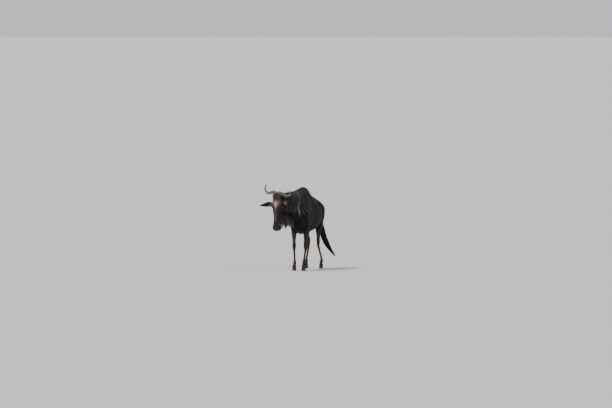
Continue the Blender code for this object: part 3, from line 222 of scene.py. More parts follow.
@dataclass
class Anatomy:
    """The animal's flesh as one smooth field, in the working frame."""

    withers: float = 1.27
    croup: float = 1.088
    chest_floor: float = 0.572
    belly_floor: float = 0.588
    rib_half: float = 0.203
    hip_half: float = 0.155
    knee_height: float = 0.385
    hock_height: float = 0.435
    fetlock_height: float = 0.125
    coronet_height: float = 0.062
    head_length: float = 0.572
    head_place: Vector = field(default_factory=lambda: Vector((-0.222, -0.585, 1.185)))
    head_slope: float = math.radians(9)
    head_turn: float = math.radians(-1.5)
    head_tilt: float = math.radians(-2.5)
    eye_radius: float = 0.0195
    forelegs: tuple[Foot, Foot] = Foot(1, (0.108, -0.1), (0.084, -0.125)), Foot(-1, (-0.078, -0.07), (-0.074, -0.075))
    hindlegs: tuple[Foot, Foot] = Foot(1, (0.062, 0.935), (0.116, 0.905)), Foot(-1, (-0.082, 0.885), (-0.104, 0.83))

    def __post_init__(self) -> None:
        """Works out the head's axes and every tube."""
        slope = self.head_slope
        rows = ((1, 0, 0), (0, -math.sin(slope), -math.cos(slope)), (0, -math.cos(slope), math.sin(slope)))
        turn = Matrix.Rotation(self.head_turn, 3, "Z") @ Matrix.Rotation(self.head_tilt, 3, "Y")
        self.axes = np.array(turn @ Matrix(rows).transposed())
        self.eye = np.array((0.0675, 0.172, 0.016))
        self.nostril = np.array((0.044, self.head_length - 0.06, 0.033))
        self.look = unit(np.array((0.92, -0.02, 0.36)))
        self.slant = unit(np.array((0, 1, -0.18)) - self.look * (self.look @ (0, 1, -0.18)))
        self.short = np.cross(self.look, self.slant)
        low, high = (np.array(corner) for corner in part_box("eye_left"))
        self.shift = (low + high) / 2 - self.from_head(self.eye)
        self.body_tubes = [*self.trunk(), *self.neck()]
        for fore, hind in zip(self.forelegs, self.hindlegs, strict=True):
            self.body_tubes += [*self.foreleg(fore), *self.hindleg(hind)]
        self.body_tubes.append(Loft(self.dock(), (1, 0, 0), 0.03))
        self.head_tubes = self.head_middle()
        self.side_tubes = self.head_side()
        self.mouth_tube = Loft(self.mouth_line(), OUT, steps=2)
        self.nostril_tube = Loft(self.nostril_line(), OUT, steps=2)

    def trunk(self) -> list[Loft]:
        """The barrel, the withers ridge, the brisket and the croup."""
        lines = [(-0.17, 1.06, 0.7, 0.105, 0.1), (-0.12, 1.12, 0.63, 0.13, 0.2),
            (-0.02, 1.2, self.chest_floor + 0.012, 0.152, 0.26), (0.14, 1.232, self.chest_floor, 0.176, 0.22),
            (0.34, 1.192, self.chest_floor + 0.003, self.rib_half, 0.18),
            (0.54, self.croup + 0.048, self.belly_floor + 0.012, self.rib_half - 0.002, 0.14),
            (0.7, self.croup + 0.018, 0.655, self.hip_half + 0.02, 0.1),
            (0.84, self.croup - 0.012, 0.72, self.hip_half, 0.1), (0.91, self.croup - 0.045, 0.775, 0.115, 0)]
        barrel = [
            (0, y, (m := low + 0.46 * (top - low)), half, top - m, m - low, taper)
            for y, top, low, half, taper in lines
        ]
        ridge = [(0, -0.16, 1.11, 0.045, 0.075, 0.08), (0, -0.03, self.withers - 0.095, 0.042, 0.075, 0.08),
            (0, 0.08, self.withers - 0.078, 0.04, 0.076, 0.08),
            (0, 0.16, self.withers - 0.076, 0.04, 0.076, 0.08),
            (0, 0.27, self.withers - 0.098, 0.044, 0.07, 0.08),
            (0, 0.42, self.withers - 0.146, 0.045, 0.06, 0.08),
            (0, 0.62, self.croup - 0.016, 0.05, 0.055, 0.06),
            (0, 0.86, self.croup - 0.052, 0.055, 0.052, 0.06),
            (0, 0.985, self.croup - 0.105, 0.035, 0.035, 0.05)]
        brisket = [(0, -0.215, 0.86, 0.05, 0.045, 0.05), (0, -0.205, 0.74, 0.05, 0.04, 0.05),
            (0, -0.12, 0.64, 0.045, 0.05, 0.05), (0, 0.06, 0.615, 0.045, 0.045, 0.05)]
        return [Loft(barrel, UP), Loft(ridge, UP, 0.07), Loft(brisket, (0, -1, 0.1), 0.06)]

    def pastern(self, x: float, y: float, size: float) -> list[tuple[float, ...]]:
        """Fetlock, pastern and the ring under the coronet, from a foot's place.

        Args:
            x: The foot's place.
            y: The foot's place.
            size: Its size against a fore foot.

        Returns:
            The sections.
        """
        fetlock, coronet = self.fetlock_height, self.coronet_height
        rows = (
            (0.02, fetlock + 0.03, 0.02, 0.024, 0.026), (0.016, fetlock, 0.0265, 0.03, 0.032),
            (0.005, fetlock - 0.028, 0.024, 0.025, 0.028), (-0.006, coronet + 0.01, 0.0285, 0.029, 0.031),
            (-0.013, coronet - 0.03, 0.0315, 0.034, 0.034),
        )
        return [(x, y + back, z, *(reach * size for reach in reaches)) for back, z, *reaches in rows]

    def dew_claws(self, x: float, y: float) -> list[Loft]:
        """The two small claws behind the fetlock.

        Args:
            x: The foot's place.
            y: The foot's place.

        Returns:
            Their tubes.
        """
        high, low = self.fetlock_height - 0.004, self.fetlock_height - 0.022
        pairs = [((x + s * 0.014, y + 0.037, high, 0.01), (x + s * 0.016, y + 0.042, low, 0.0085)) for s in (-1, 1)]
        return [Loft(rows, AHEAD, 0.008) for rows in pairs]

    def foreleg(self, leg: Foot) -> list[Loft]:
        """Shoulder blade, upper arm, the muscle behind it, forearm, knee, cannon, fetlock and pastern.

        Args:
            leg: Where the leg stands.

        Returns:
            Its tubes.
        """
        s, (kx, ky), (fx, fy) = leg
        blade = [(0.058, 0.11, 1.175, 0.038, 0.05, 0.07), (0.092, 0.03, 1.07, 0.044, 0.072, 0.085),
            (0.116, -0.06, 0.95, 0.046, 0.07, 0.08), (0.114, -0.145, 0.85, 0.048, 0.056, 0.06)]
        arm = [(0.112, -0.14, 0.84, 0.046, 0.052, 0.052), (0.114, -0.085, 0.775, 0.048, 0.058, 0.06),
            (0.104, -0.03, 0.71, 0.046, 0.056, 0.056)]
        triceps = [(0.126, 0.055, 0.91, 0.038, 0.065, 0.055), (0.122, 0.04, 0.8, 0.04, 0.07, 0.055),
            (0.104, 0.015, 0.715, 0.038, 0.05, 0.04)]
        made = [Loft(rows, AHEAD, 0.045, side=s) for rows in (blade, arm, triceps)]
        elbow, knee = np.array((s * 0.096, -0.02)), np.array((kx, ky))
        forearm = [(*elbow, 0.735, 0.05, 0.058, 0.066),
            (*(0.8 * elbow + 0.2 * knee), 0.655, 0.045, 0.053, 0.062),
            (*(0.5 * elbow + 0.5 * knee), 0.55, 0.037, 0.041, 0.046),
            (*(0.2 * elbow + 0.8 * knee), 0.455, 0.0275, 0.031, 0.032),
            (kx, ky, self.knee_height + 0.022, 0.0315, 0.034, 0.031),
            (kx, ky, self.knee_height - 0.022, 0.0305, 0.032, 0.033),
            (kx, ky + 0.002, self.knee_height - 0.06, 0.0225, 0.024, 0.027),
            (0.5 * (kx + fx), 0.5 * (ky + fy) + 0.01, 0.24, 0.0175, 0.021, 0.024), *self.pastern(fx, fy, 1.0)]
        return [*made, Loft(forearm, AHEAD, 0.035), *self.dew_claws(fx, fy)]

    def hindleg(self, leg: Foot) -> list[Loft]:
        """Point of the hip, rump, thigh, the muscle of the seat bone, gaskin, hock, cannon, fetlock and pastern.

        Args:
            leg: Where the leg stands.

        Returns:
            Its tubes.
        """
        s, (hx, hy), (fx, fy) = leg
        hip = [(0.08, 0.68, 1.038, 0.034), (0.13, 0.67, 1.002, 0.034)]
        rump = [(0.086, 0.74, 0.97, 0.078, 0.09, 0.095), (0.088, 0.86, 0.93, 0.078, 0.09, 0.095),
            (0.074, 0.94, 0.895, 0.06, 0.06, 0.085)]
        thigh = [(0.102, 0.845, 0.92, 0.076, 0.12, 0.11), (0.114, 0.805, 0.82, 0.072, 0.115, 0.12),
            (0.112, 0.77, 0.72, 0.056, 0.08, 0.11)]
        seat = [(0.062, 0.96, 0.91, 0.046, 0.045, 0.045), (0.078, 0.95, 0.8, 0.05, 0.06, 0.045),
            (0.09, 0.922, 0.68, 0.04, 0.06, 0.036), (0.088, 0.902, 0.57, 0.024, 0.04, 0.022)]
        tubes = ((hip, UP, 0.05), (rump, UP, 0.05), (thigh, AHEAD, 0.05), (seat, AHEAD, 0.04))
        made = [Loft(*tube, side=s) for tube in tubes]
        stifle = np.array((s * 0.108, hy - 0.155, 0.70))
        hock = np.array((hx, hy, self.hock_height))
        along = hock - stifle
        shank = [(*stifle, 0.056, 0.07, 0.1), (*(stifle + 0.35 * along), 0.05, 0.056, 0.08),
            (*(stifle + 0.7 * along), 0.033, 0.037, 0.048),
            (*(hock + (0, -0.004, 0.022)), 0.0285, 0.034, 0.042),
            (*(hock + (0, 0.004, -0.03)), 0.0285, 0.031, 0.036),
            (hx, hy + 0.008, self.hock_height - 0.085, 0.022, 0.025, 0.028),
            (0.5 * (hx + fx), 0.5 * (hy + fy) + 0.02, 0.25, 0.018, 0.022, 0.025), *self.pastern(fx, fy, 0.97)]
        heel = hock + (0, 0.046, 0.052)
        tendon = [(*(stifle + 0.4 * along + (0, 0.075, 0)), 0.02, 0.024, 0.022),
            (*(0.5 * (stifle + 0.55 * along + (0, 0.075, 0)) + 0.5 * heel), 0.0125, 0.014, 0.012),
            (*heel, 0.0155, 0.018, 0.014), (*(heel + (0, -0.012, -0.04)), 0.0165, 0.02, 0.014)]
        return [*made, Loft(shank, AHEAD, 0.04), Loft(tendon, AHEAD, 0.022), *self.dew_claws(fx, fy)]

    def neck(self) -> list[Loft]:
        """The neck, bent to the animal's right, with the low root of the mane along its crest."""
        neck = [(0, 0.02, 0.985, 0.112, 0.2, 0.22, 0.25), (-0.028, -0.14, 1.01, 0.096, 0.192, 0.2, 0.25),
            (-0.078, -0.29, 1.025, 0.08, 0.168, 0.165, 0.2), (-0.142, -0.42, 1.035, 0.07, 0.145, 0.145, 0.15),
            (-0.2, -0.52, 1.05, 0.066, 0.122, 0.13, 0.05)]
        crest = [(0, 0.04, 1.195, 0.024, 0.06, 0.05), (-0.024, -0.14, 1.18, 0.022, 0.046, 0.05),
            (-0.076, -0.29, 1.17, 0.02, 0.04, 0.05), (-0.142, -0.42, 1.16, 0.02, 0.034, 0.05),
            (-0.198, -0.51, 1.148, 0.02, 0.026, 0.05)]
        return [Loft(neck, UP, 0.06), Loft(crest, UP, 0.03)]

    def head_middle(self) -> list[Loft]:
        """Skull, muzzle and jaw, which cross the middle of the head."""
        end = self.head_length
        lines = [(0.012, 0.04, -0.055, 0.052, 0), (0.06, 0.057, -0.085, 0.067, -0.05),
            (0.12, 0.064, -0.105, 0.073, -0.12), (0.185, 0.064, -0.105, 0.07, -0.22),
            (0.255, 0.063, -0.095, 0.061, -0.2), (0.335, 0.061, -0.074, 0.054, -0.05),
            (0.41, 0.057, -0.06, 0.054, 0), (end - 0.098, 0.05, -0.05, 0.061, 0.05),
            (end - 0.06, 0.04, -0.045, 0.063, 0.1)]
        skull = [
            (0, a, (m := 0.5 * (front + back)), half, front - m, m - back, taper)
            for a, front, back, half, taper in lines
        ]
        jaw = [(0, 0.165, -0.105, 0.046, 0.04, 0.034), (0, 0.25, -0.102, 0.04, 0.035, 0.028),
            (0, 0.36, -0.07, 0.034, 0.03, 0.022), (0, 0.46, -0.044, 0.038, 0.025, 0.02),
            (0, end - 0.045, -0.036, 0.04, 0.022, 0.02)]
        return [Loft(skull, OUT, steps=8), Loft(jaw, OUT, 0.03, 6)]

    def head_side(self) -> list[Loft]:
        """Brow, cheek, cheekbone, nostril wing and lips of one side, to be mirrored."""
        x, a, n = self.eye
        u, v, w = self.nostril
        end = self.head_length
        brow = [(x - 0.01, a - 0.036, n + 0.014, 0.016), (x - 0.002, a - 0.006, n + 0.012, 0.02),
            (x - 0.008, a + 0.028, n + 0.01, 0.014)]
        cheekbone = [(x - 0.012, a + 0.03, n - 0.02, 0.014), (x - 0.022, a + 0.11, n - 0.014, 0.01, 0.012, 0.012)]
        cheek = [(0.036, 0.15, -0.075, 0.028, 0.04, 0.036), (0.036, 0.225, -0.07, 0.024, 0.038, 0.034)]
        poll = [(0.022, 0.002, 0.012, 0.03, 0.026, 0.03), (0.046, 0.03, 0.006, 0.026, 0.026, 0.03)]
        wing = [(u - 0.002, v - 0.034, w - 0.01, 0.014, 0.014, 0.015),
            (u + 0.004, v - 0.004, w - 0.014, 0.019, 0.018, 0.018),
            (u + 0.004, v + 0.022, w - 0.022, 0.017, 0.015, 0.015)]
        upper_lip = [(-0.006, end - 0.026, 0.006, 0.024, 0.026, 0.022),
            (0.032, end - 0.032, 0.002, 0.024, 0.026, 0.022),
            (0.048, end - 0.056, -0.004, 0.02, 0.022, 0.018)]
        chin = [(-0.006, end - 0.034, -0.032, 0.02), (0.028, end - 0.044, -0.032, 0.02)]
        made = [Loft(rows, OUT, 0.02) for rows in (brow, cheekbone, wing, upper_lip, chin)]
        return [*made, Loft(cheek, OUT, 0.04), Loft(poll, OUT, 0.03)]

    @staticmethod
    def dock() -> list[tuple[float, ...]]:
        """The bony part of the tail."""
        return [(0, 0.945, 1, 0.034), (0.008, 1.025, 0.93, 0.027), (0.03, 1.068, 0.82, 0.022),
            (0.058, 1.095, 0.7, 0.018), (0.085, 1.11, 0.59, 0.013), (0.105, 1.125, 0.49, 0.007)]

    @staticmethod
    def mane_line() -> list[tuple[float, ...]]:
        """The crest of the neck, with the depth of the mane's roots."""
        return [(0, 0.05, 1.165, 0.038, 0.095, 0.06), (-0.024, -0.14, 1.14, 0.052, 0.096, 0.075),
            (-0.076, -0.29, 1.125, 0.054, 0.096, 0.07), (-0.138, -0.42, 1.115, 0.05, 0.088, 0.06),
            (-0.186, -0.49, 1.11, 0.044, 0.068, 0.05)]

    def mouth_line(self) -> list[tuple[float, ...]]:
        """The left half of the line between the lips, in head axes, with its radius."""
        end = self.head_length
        return [(0.054, end - 0.118, -0.026, 0.003), (0.059, end - 0.085, -0.022, 0.0046),
            (0.066, end - 0.052, -0.019, 0.005), (0.051, end - 0.02, -0.014, 0.005),
            (0.025, end - 0.007, -0.012, 0.0048), (-0.006, end - 0.0055, -0.012, 0.0048)]

    def nostril_line(self) -> list[tuple[float, ...]]:
        """The left nostril's opening, in head axes, with its radius."""
        x, a, n = self.nostril
        return [(x + 0.006, a - 0.026, n - 0.002, 0.004), (x + 0.01, a - 0.008, n - 0.001, 0.009),
            (x + 0.004, a + 0.012, n - 0.002, 0.0105), (x - 0.01, a + 0.02, n - 0.001, 0.006)]

    def from_head(self, points: Array | Sequence[float]) -> Array:
        """Points in head axes (left, down the face, out of the face), placed in the working frame."""
        return np.asarray(points, float) @ self.axes.T + np.array(self.head_place)

    def to_head(self, points: Array) -> Array:
        """Points of the working frame, in head axes."""
        return (points - np.array(self.head_place)) @ self.axes



    def flesh(self, p: Array) -> Array:
        """About how far each point is outside the animal.

        Args:
            p: The points.

        Returns:
            Distances, below 0 inside.
        """
        found = joined(self.body_tubes, p)
        box = self.from_head([(s, a, n) for s in (-0.2, 0.2) for a in (-0.2, 0.7) for n in (-0.25, 0.2)])
        if (p.max(0) > box.min(0)).all() and (p.min(0) < box.max(0)).all():
            middle = joined(self.head_tubes, self.to_head(p))
            found = soft_min(found, joined(self.side_tubes, self.mirrored(p), middle), 0.035)
        return found

    def mirrored(self, p: Array) -> Array:
        """Points of the working frame in head axes, all brought to the left side."""
        q = self.to_head(p)
        q[:, 0] = np.abs(q[:, 0])
        return q

    def lidded(self, p: Array) -> Array:
        """The flesh, swollen over the eyes by the thickness of closed lids."""
        ball = np.linalg.norm(self.mirrored(p) - self.eye, axis=1) - self.eye_radius - 0.0042
        return soft_min(self.flesh(p), ball, 0.014)

    def lid_height(self, ways: Array, level: float) -> Array:
        """How far from the left eye's middle the skin over it lies.

        Args:
            ways: Directions in head axes.
            level: The level of the field that is the skin.

        Returns:
            Distances.
        """
        low, high = np.full(len(ways), self.eye_radius - 0.004), np.full(len(ways), self.eye_radius + 0.030)
        for _ in range(13):
            middle = (low + high) / 2
            inside = self.lidded(self.from_head(self.eye + ways * middle[:, None])) < level
            low, high = np.where(inside, middle, low), np.where(inside, high, middle)
        return low

    def face(self, p: Array) -> Array:
        """The flesh with the nostrils, the mouth and the openings of the lids sunk into it.

        Args:
            p: The points.

        Returns:
            Distances, below 0 inside.
        """
        q = self.mirrored(p)
        seam = (q[:, 1] + 0.02) * 0.374 + (q[:, 2] + 0.045) * 0.927
        found = self.lidded(p) + 0.0012 * eased(seam, 0.06, 0.01)
        v = q - self.eye
        across = np.hypot(v @ self.slant / 1.60, v @ self.short / 0.66)
        opening = np.maximum((across - v @ self.look) * 0.6, self.eye_radius - 0.004 - np.linalg.norm(v, axis=1))
        nostril, mouth = self.nostril_tube.distance(q), self.mouth_tube.distance(q)
        for hollow, k in ((nostril, 0.005), (mouth, 0.004), (opening, 0.002)):
            found = -soft_min(-found, hollow, k)
        return found


# Meshes
def linked(name: str, data: bpy.types.ID) -> Piece:
    """Makes an object of a mesh, a lamp or a camera, and puts it in the scene."""
    made = bpy.data.objects.new(name, data)
    bpy.context.scene.collection.objects.link(made)
    return made


def keep(edited: bmesh.types.BMesh, mesh: bpy.types.Mesh) -> bpy.types.Mesh:
    """Writes an edited mesh back."""
    edited.to_mesh(mesh)
    edited.free()
    return mesh


def new_object(name: str, points: Array, faces: Sequence[Sequence[int]] | Array) -> Piece:
    """Makes an object of points and faces.

    Args:
        name: The object's name.
        points: Its points, in the frame that it is wanted in.
        faces: Its faces, as an array of triangles or quads or as a list of any faces.

    Returns:
        The object.
    """
    mesh = bpy.data.meshes.new(name)
    if isinstance(faces, Array):
        count, corners = faces.shape
        mesh.vertices.add(len(points))
        mesh.vertices.foreach_set("co", np.asarray(points, np.float32).ravel())
        mesh.loops.add(count * corners)
        mesh.loops.foreach_set("vertex_index", faces.astype(np.int32).ravel())
        mesh.polygons.add(count)
        mesh.polygons.foreach_set("loop_start", np.arange(0, count * corners, corners, dtype=np.int32))
        mesh.update(calc_edges=True)
        mesh.validate()
    else:
        mesh.from_pydata([tuple(map(float, p)) for p in points], [], [tuple(map(int, f)) for f in faces])
    mesh.shade_smooth()
    return linked(name, mesh)


def closed(name: str, points: Array, faces: Sequence[Sequence[int]]) -> Piece:
    """Makes an object whose faces all look outwards.

    Args:
        name: The object's name.
        points: Its points.
        faces: Its faces, turned either way.

    Returns:
        The object.
    """
    made = new_object(name, points, faces)
    edited = bmesh.new()
    edited.from_mesh(made.data)
    bmesh.ops.recalc_face_normals(edited, faces=edited.faces)
    keep(edited, made.data)
    return made


def read(items: bpy.types.bpy_prop_collection, name: str, kind: type, width: int = 1) -> Array:
    """Reads one property of many items.

    Args:
        items: The items.
        name: The property's name.
        kind: The type of its numbers.
        width: How many of them each item has.

    Returns:
        The numbers, in a row for each item where it has several.
    """
    found = np.empty(width * len(items), kind)
    items.foreach_get(name, found)
    return found.reshape(-1, width) if width > 1 else found


def positions(obj: Piece) -> Array:
    """The points of an object's mesh."""
    return read(obj.data.vertices, "co", np.float32, 3).astype(float)


def triangles_of(obj: Piece) -> Array:
    """The mesh as triangles of point numbers."""
    obj.data.calc_loop_triangles()
    return read(obj.data.loop_triangles, "vertices", np.int32, 3)


def lay_map(obj: Piece, places: Array) -> None:
    """Gives a coat piece its unwrap, a place for each face corner."""
    layer = obj.data.uv_layers.new(name=UV_NAME)
    layer.data.foreach_set("uv", places.astype(np.float32).ravel())


def tube_faces(rows: int, sides: int) -> list[tuple[int, ...]]:
    """The quads between rings of points."""
    pairs = [(i * sides + j, i * sides + (j + 1) % sides) for i in range(rows - 1) for j in range(sides)]
    return [(a, b, b + sides, a + sides) for a, b in pairs]


def set_attributes(obj: Piece, tint: Array | None = None, **shares: Array | float) -> None:
    """Gives every point of a mesh its colour and its shares.

    Args:
        obj: The object.
        tint: A colour for each point.
        shares: A number for each point, or one for them all, by the attribute's name.
    """
    attributes, count = obj.data.attributes, len(obj.data.vertices)
    if tint is not None:
        colours = np.hstack([tint, np.ones((count, 1))]).astype(np.float32)
        attributes.new("tint", "FLOAT_COLOR", "POINT").data.foreach_set("color", colours.ravel())
    for name, values in shares.items():
        numbers = np.broadcast_to(values, count).astype(np.float32)
        attributes.new(name, "FLOAT", "POINT").data.foreach_set("value", numbers)


def sampled(value_at: Field, axes: Sequence[Array], cell: float, block: int = 4, bucket: int = 16) -> Array:
    """Reads a field on a grid, in full only in blocks that its surface may pass through.

    Args:
        value_at: The field.
        axes: The grid's places along x, y and z.
        cell: The grid's spacing.
        block: How many places one block has on a side.
        bucket: How many places are read at a time on a side, a whole number of blocks.

    Returns:
        The values.
    """
    counts = [len(axis) for axis in axes]
    half = cell * (block - 1) / 2
    middles = np.stack(np.meshgrid(*[axis[::block] + half for axis in axes], indexing="ij"), -1)
    rough = value_at(middles.reshape(-1, 3)).reshape(middles.shape[:3])
    for axis, count in enumerate(counts):
        rough = np.repeat(rough, block, axis).take(range(count), axis)
    values = rough.copy()
    near = np.abs(rough) < 1.6 * cell * block * math.sqrt(3) / 2
    for i in range(0, counts[0], bucket):
        for j in range(0, counts[1], bucket):
            for k in range(0, counts[2], bucket):
                part = tuple(slice(n, n + bucket) for n in (i, j, k))
                mask = near[part]
                if mask.any():
                    places = np.meshgrid(*[axis[s] for axis, s in zip(axes, part, strict=True)], indexing="ij")
                    values[part][mask] = value_at(np.stack(places, -1)[mask])
    return values


def polygonised(name: str, value_at: Field, low: Array, high: Array, cell: float, level: float) -> Piece:
    """Makes a field's surface inside a box.

    Args:
        name: The object's name.
        value_at: The field.
        low: The box's lowest corner.
        high: Its highest corner.
        cell: The spacing of its points.
        level: The field's value on the surface.

    Returns:
        A closed mesh.
    """
    axes = [np.arange(lo, hi + cell, cell) for lo, hi in zip(low, high, strict=True)]
    values = sampled(value_at, axes, cell) - level
    for axis in range(3):
        edge = [slice(None)] * 3
        edge[axis] = [0, -1]
        values[tuple(edge)] = np.maximum(values[tuple(edge)], cell)
    grid = openvdb.FloatGrid(cell)
    grid.copyFromArray(np.clip(values, -4 * cell, 4 * cell).astype(np.float32))
    points, triangles, quads = grid.convertToPolygons(isovalue=0.0)
    faces = [*triangles.tolist(), *quads.tolist()]
    return closed(name, points * cell + np.array([axis[0] for axis in axes]), faces)


def half_space(point: Array, out: Array, size: float = 3.0) -> Piece:
    """A closed block: a big cube cut back to the inner side of a plane.

    Args:
        point: A point of the plane.
        out: The way out of the block.
        size: Half the cube's side.

    Returns:
        The block.
    """
    edited = bmesh.new()
    bmesh.ops.create_cube(edited, size=2 * size)
    geometry = [*edited.verts, *edited.edges, *edited.faces]
    cut = bmesh.ops.bisect_plane(edited, geom=geometry, plane_co=point, plane_no=out, clear_outer=True, dist=1e-7)
    rim = [g for g in cut["geom_cut"] if isinstance(g, bmesh.types.BMEdge)]
    bmesh.ops.contextual_create(edited, geom=rim)
    bmesh.ops.recalc_face_normals(edited, faces=edited.faces)
    return linked("block", keep(edited, bpy.data.meshes.new("block")))


def combine(obj: Piece, operation: str, other: Piece) -> None:
    """Applies one Boolean and removes the other object.

    Args:
        obj: The object that is changed.
        operation: UNION, INTERSECT or DIFFERENCE.
        other: The object that it is combined with.
    """
    step = obj.modifiers.new("combine", "BOOLEAN")
    step.operation = operation
    step.solver = "MANIFOLD"
    step.object = other
    graph = bpy.context.evaluated_depsgraph_get()
    mesh = bpy.data.meshes.new_from_object(obj.evaluated_get(graph))
    obj.modifiers.clear()
    obj.data = mesh
    bpy.data.objects.remove(other)


def swept(name: str, rows: Array, sides: int) -> Piece:
    """A closed tube.

    Args:
        name: The object's name.
        rows: Its rings, each a centre and a radius.
        sides: Points round it.

    Returns:
        The object.
    """
    line, radius = rows[:, :3], rows[:, 3]
    along = unit(np.gradient(line, axis=0))
    side = unit(np.cross(along, unit(line[-1] - line[0]) + (0.01, 0.02, 0.05)))
    for i in range(1, len(line)):
        side[i] = unit(side[i - 1] - along[i] * (side[i - 1] @ along[i]))
    up = np.cross(along, side)
    turn = np.arange(sides) / sides * 2 * np.pi
    around = np.cos(turn)[None, :, None] * side[:, None] + np.sin(turn)[None, :, None] * up[:, None]
    points = (line[:, None] + radius[:, None, None] * around).reshape(-1, 3)
    points = np.vstack([points, line[0], line[-1]])
    first, last = len(points) - 2, (len(line) - 1) * sides
    faces = tube_faces(len(line), sides)
    faces += [((j + 1) % sides, j, first) for j in range(sides)]
    faces += [(last + j, last + (j + 1) % sides, first + 1) for j in range(sides)]
    return closed(name, points, faces)


# Materials
class Value:
    """A shader socket that takes part in Python expressions."""

    def __init__(self, shader: "Shader", socket: bpy.types.NodeSocket) -> None:
        """Wraps an output socket of a material."""
        self.shader = shader
        self.socket = socket

    def _joined(self, operation: str, left: "Value | float", right: "Value | float") -> "Value":
        """Adds the node for one operation, a vector one where a side is a colour or a vector.

        Args:
            operation: The operation's name.
            left: Its first side.
            right: Its second side.

        Returns:
            The result.
        """
        sides = (left, right)
        wide = any(isinstance(s, Value) and s.socket.type in {"RGBA", "VECTOR"} for s in sides)
        if wide:
            sides = tuple(s if isinstance(s, Value) else (s, s, s) for s in sides)
        kind = "ShaderNodeVectorMath" if wide else "ShaderNodeMath"
        return self.shader.node(kind, {"operation": operation}, dict(enumerate(sides)))

    def __add__(self, other: "Value | float") -> "Value":
        """The sum."""
        return self._joined("ADD", self, other)

    def __sub__(self, other: "Value | float") -> "Value":
        """The difference."""
        return self._joined("SUBTRACT", self, other)

    def __rsub__(self, other: float) -> "Value":
        """The difference from a number."""
        return self._joined("SUBTRACT", other, self)

    def __mul__(self, other: "Value | float") -> "Value":
        """The product."""
        return self._joined("MULTIPLY", self, other)

    def __radd__(self, other: float) -> "Value":
        """A number with this added."""
        return self._joined("ADD", other, self)

    def __rmul__(self, other: float) -> "Value":
        """A number times this."""
        return self._joined("MULTIPLY", other, self)

    def step(self, low: float, high: float) -> "Value":
        """A smooth rise from 0 at low to 1 at high."""
        settings = {"interpolation_type": "SMOOTHSTEP"}
        return self.shader.node("ShaderNodeMapRange", settings, {0: self, 1: low, 2: high})


class Shader:
    """One material and its nodes."""

    def __init__(self, name: str) -> None:
        """Starts a material of that name."""
        self.material = bpy.data.materials.new(name)
        self.material.use_nodes = True
        self.tree = self.material.node_tree
        self.surface = self.tree.nodes["Principled BSDF"]

    def node(self, kind: str, settings: dict | None = None, values: dict | None = None, output: int = 0) -> Value:
        """Adds a node.

        Args:
            kind: The node's type.
            settings: Its settings, which are set first.
            values: The values or links of its sockets.
            output: Which output is wanted.

        Returns:
            That output.
        """
        made = self.tree.nodes.new(kind)
        for key, value in (settings or {}).items():
            setattr(made, key, value)
        for key, value in (values or {}).items():
            if isinstance(value, Value):
                self.tree.links.new(value.socket, made.inputs[key])
            else:
                made.inputs[key].default_value = value
        return Value(self, made.outputs[output])

    def attribute(self, name: str, colour: bool = False) -> Value:
        """Reads a number or a colour that the mesh carries at every point."""
        return self.node("ShaderNodeAttribute", {"attribute_name": name}, output=0 if colour else 2)

    def place(self, *stretch: float) -> Value:
        """The point's place on the object, stretched along each axis."""
        here = self.node("ShaderNodeTexCoord", output=3)
        return self.node("ShaderNodeVectorMath", {"operation": "MULTIPLY"}, {0: here, 1: stretch or (1, 1, 1)})

    def noise(self, at: Value, scale: float, detail: float = 2.0, rough: float = 0.5) -> Value:
        """Noise from 0 to 1."""
        values = {"Vector": at, "Scale": scale, "Detail": detail, "Roughness": rough}
        return self.node("ShaderNodeTexNoise", None, values)

    def mixed(self, share: Value | float, low: Value | tuple, high: Value | tuple) -> Value:
        """A colour between two."""
        colours = [c if isinstance(c, Value) else (*c, 1.0) for c in (low, high)]
        return self.node("ShaderNodeMix", {"data_type": "RGBA"}, {0: share, 6: colours[0], 7: colours[1]}, 2)

    def bump(self, height: Value, depth: float, strength: float = 1.0) -> Value:
        """Turns a height into a normal."""
        return self.node("ShaderNodeBump", None, {"Height": height, "Distance": depth, "Strength": strength})

    def done(self, **sockets: Value | float | tuple) -> Material:
        """Sets the surface's sockets.

        Args:
            sockets: Values or links, by socket names with underscores for spaces.

        Returns:
            The material.
        """
        for name, value in sockets.items():
            socket = self.surface.inputs[name.replace("_", " ")]
            if isinstance(value, Value):
                self.tree.links.new(value.socket, socket)
            else:
                socket.default_value = value
        return self.material


@dataclass(frozen=True)
class SkinFinish:
    """The skin with its short flat fur: fine strokes along the coat and soft mottling."""

    name: str = "short_fur"
    roughness: float = 0.62
    stroke_depth: float = 0.0016

    def material(self) -> Material:
        """Builds the material."""
        s = Shader(self.name)
        flank = s.noise(s.place(1, 0.16, 0.5), 420, 3, 0.6)
        limb = s.noise(s.place(1, 1, 0.14), 420, 3, 0.6)
        upright = s.attribute("upright")
        strokes = flank * (1 - upright) + limb * upright
        blotch = s.noise(s.place(), 14, 4, 0.6)
        bare = s.attribute("bare")
        pores = s.noise(s.place(), 700, 2, 0.5)
        height = strokes * (1 - bare) + pores * bare * 0.35
        tone = 0.62 + 0.5 * strokes + 0.35 * (blotch - 0.5)
        tint = s.attribute("tint", True) * tone
        rough = self.roughness - 0.22 * bare + 0.15 * (strokes - 0.5)
        normal = s.bump(height, self.stroke_depth, 0.7)
        return s.done(Base_Color=tint, Roughness=rough, Normal=normal, Specular_IOR_Level=0.1)


@dataclass(frozen=True)
class HairFinish:
    """Hair of tufts and locks, lighter or darker along each."""

    name: str
    roughness: float = 0.45
    gloss: float = 0.35

    def material(self) -> Material:
        """Builds the material."""
        s = Shader(self.name)
        fine = s.noise(s.place(), 260, 2, 0.6)
        tint = s.attribute("tint", True) * (0.75 + 0.5 * fine)
        rough = self.roughness + 0.2 * (fine - 0.5)
        return s.done(Base_Color=tint, Roughness=rough, Specular_IOR_Level=self.gloss)


